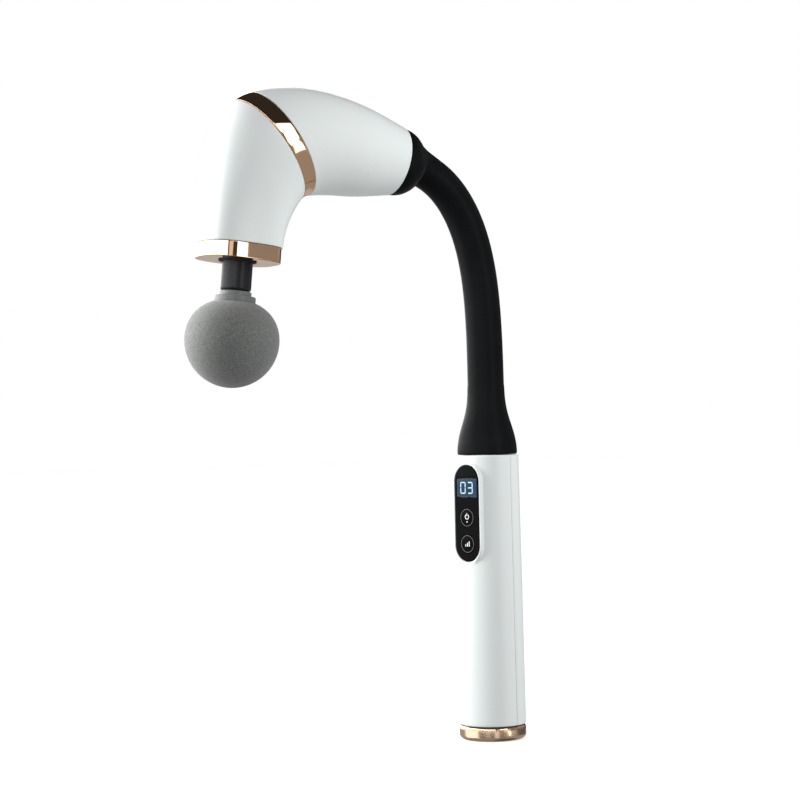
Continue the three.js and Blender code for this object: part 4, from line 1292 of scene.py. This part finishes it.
def soft_box(name, right, toward_camera, up, width, height, power):
    """An area light placed as seen by the photographer and aimed at the object. It only
    lights: what the gloss mirrors is the studio in the world shader."""
    light = bpy.data.lights.new(name, "AREA")
    light.shape = "RECTANGLE"
    light.size, light.size_y = width, height
    light.energy = power
    lamp = bpy.data.objects.new(name, light)
    scene.collection.objects.link(lamp)
    lamp.location = SUBJECT + VIEW_RIGHT * right - VIEW_FORWARD * toward_camera + UP * up
    lamp.rotation_euler = (SUBJECT - lamp.location).to_track_quat("-Z", "Y").to_euler()
    lamp.visible_camera = False
    lamp.visible_glossy = False


def build_lights():
    soft_box("left_box", -0.62, 0.02, 0.06, 0.35, 0.6, 4.4)
    soft_box("ball_box", -0.27, 0.0, 0.12, 0.16, 0.2, 0.85)
    soft_box("head_box", 0.42, 0.18, 0.20, 0.3, 0.3, 0.85)


class Studio(Shading):
    """World shader helpers. Directions are given as an azimuth from the photographer's side
    of the object, positive to the right, and an elevation, both in degrees."""

    def __init__(self):
        world = bpy.data.worlds.new("studio")
        scene.world = world
        world.use_nodes = True
        world.cycles.sampling_method = "NONE"
        super().__init__(world.node_tree)
        direction = self.node("TexCoord", "Generated", {})
        self.z = self.node("SeparateXYZ", "Z", {"Vector": direction})
        self.right = self.dot(direction, VIEW_RIGHT)
        self.near = self.dot(direction, -VIEW_FORWARD)
        self.azimuth = self.degrees("ARCTAN2", self.right, self.near)
        self.elevation = self.degrees("ARCSINE", self.z)

    def math(self, operation, *values):
        return self.node("Math", "Value", dict(enumerate(values)), operation=operation)

    def degrees(self, operation, *values):
        return self.math("MULTIPLY", self.math(operation, *values), math.degrees(1))

    def step(self, value, edge, soft):
        """0 below an edge and 1 above it, over a soft width."""
        return self.spread(value, (edge - soft, edge + soft), interpolation="SMOOTHSTEP")

    def inside(self, value, edges, soft):
        """1 between two edges."""
        low, high = (self.step(value, edge, soft) for edge in edges)
        return self.math("MULTIPLY", low, self.math("SUBTRACT", 1.0, high))

    def paint(self, base, mask, value):
        """Sets the brightness to a value inside a mask."""
        change = self.math("SUBTRACT", value, base)
        return self.math("ADD", base, self.math("MULTIPLY", mask, change))

    def zone(self, base, azimuth, azimuths, elevations, soft, value):
        """Paints a patch between two azimuths and two elevations."""
        mask = self.math("MULTIPLY", self.inside(azimuth, azimuths, soft),
                         self.inside(self.elevation, elevations, soft))
        return self.paint(base, mask, value)

    def background(self, brightness):
        return self.node("Background", "Background", {"Strength": brightness,
                                                      "Color": (1, 1, 1, 1)})

    def mix(self, factor, a, b):
        return self.node("MixShader", "Shader", {"Fac": factor, 1: a, 2: b})


def room_light(studio):
    """The even room that lights the object."""
    room = ROOM_LEVEL
    for direction, slope in ((studio.right, ROOM_RIGHT), (studio.z, ROOM_UP),
                             (studio.near, ROOM_NEAR)):
        room = studio.math("MULTIPLY_ADD", direction, slope, room)
    return studio.paint(room, studio.step(studio.z, *ROOM_CEILING_EDGE), ROOM_CEILING)


def mirrored_walls(studio):
    """The soft boxes, grey walls and dark ceiling that the gloss mirrors."""
    walls = WALL_GREY
    for azimuths, elevations, soft, brightness in WALL_ZONES:
        walls = studio.zone(walls, studio.azimuth, azimuths, elevations, soft, brightness)
    lean = studio.math("MULTIPLY_ADD", studio.elevation, *SLANT)
    slanted = studio.math("ADD", studio.azimuth, studio.math("MINIMUM", lean, 0.0))
    walls = studio.zone(walls, slanted, *SLANTED_BOX, BOX_WHITE)
    ceiling = studio.step(studio.elevation, *MIRRORED_CEILING_EDGE)
    return studio.paint(walls, ceiling, CEILING_GREY)


def build_world():
    """A room for light, a studio for reflections, and for the camera a white backdrop behind
    the object that fades to pale grey on the photographer's side."""
    studio = Studio()
    seen = studio.mix(studio.node("LightPath", "Is Glossy Ray", {}),
                      studio.background(room_light(studio)),
                      studio.background(mirrored_walls(studio)))
    behind = studio.math("SUBTRACT", 1.0, studio.step(studio.near, *BACKDROP_EDGE))
    backdrop = studio.math("MULTIPLY_ADD", behind, 1 - BACKDROP_GREY, BACKDROP_GREY)
    seen = studio.mix(studio.node("LightPath", "Is Camera Ray", {}), seen,
                      studio.background(backdrop))
    studio.links.new(seen, studio.nodes["World Output"].inputs["Surface"])


CAMERA_PLACE = Vector((-0.66706, -1.0548, 0.1796))
CAMERA_ROLL = math.radians(1.2)
FOCAL_LENGTH = 96.75
HORIZON_SHIFT = 0.0375             # lens shift as a share of the frame's width


def build_camera():
    data = bpy.data.cameras.new("camera")
    data.lens = FOCAL_LENGTH
    data.sensor_width = 36
    data.shift_y = HORIZON_SHIFT
    camera = bpy.data.objects.new("camera", data)
    scene.collection.objects.link(camera)
    right = VIEW_RIGHT * math.cos(CAMERA_ROLL) - UP * math.sin(CAMERA_ROLL)
    above = UP * math.cos(CAMERA_ROLL) + VIEW_RIGHT * math.sin(CAMERA_ROLL)
    turn = Matrix((right, above, -VIEW_FORWARD)).transposed().to_4x4()
    camera.matrix_world = Matrix.Translation(CAMERA_PLACE) @ turn
    scene.camera = camera
    scene.view_settings.view_transform = "Standard"


build_camera()
build_world()
build_lights()
build_floor()
build_cap()
build_handle()
build_panel()
build_neck()
build_head()
build_plate()
build_plunger()
build_ball()
dress_carried()
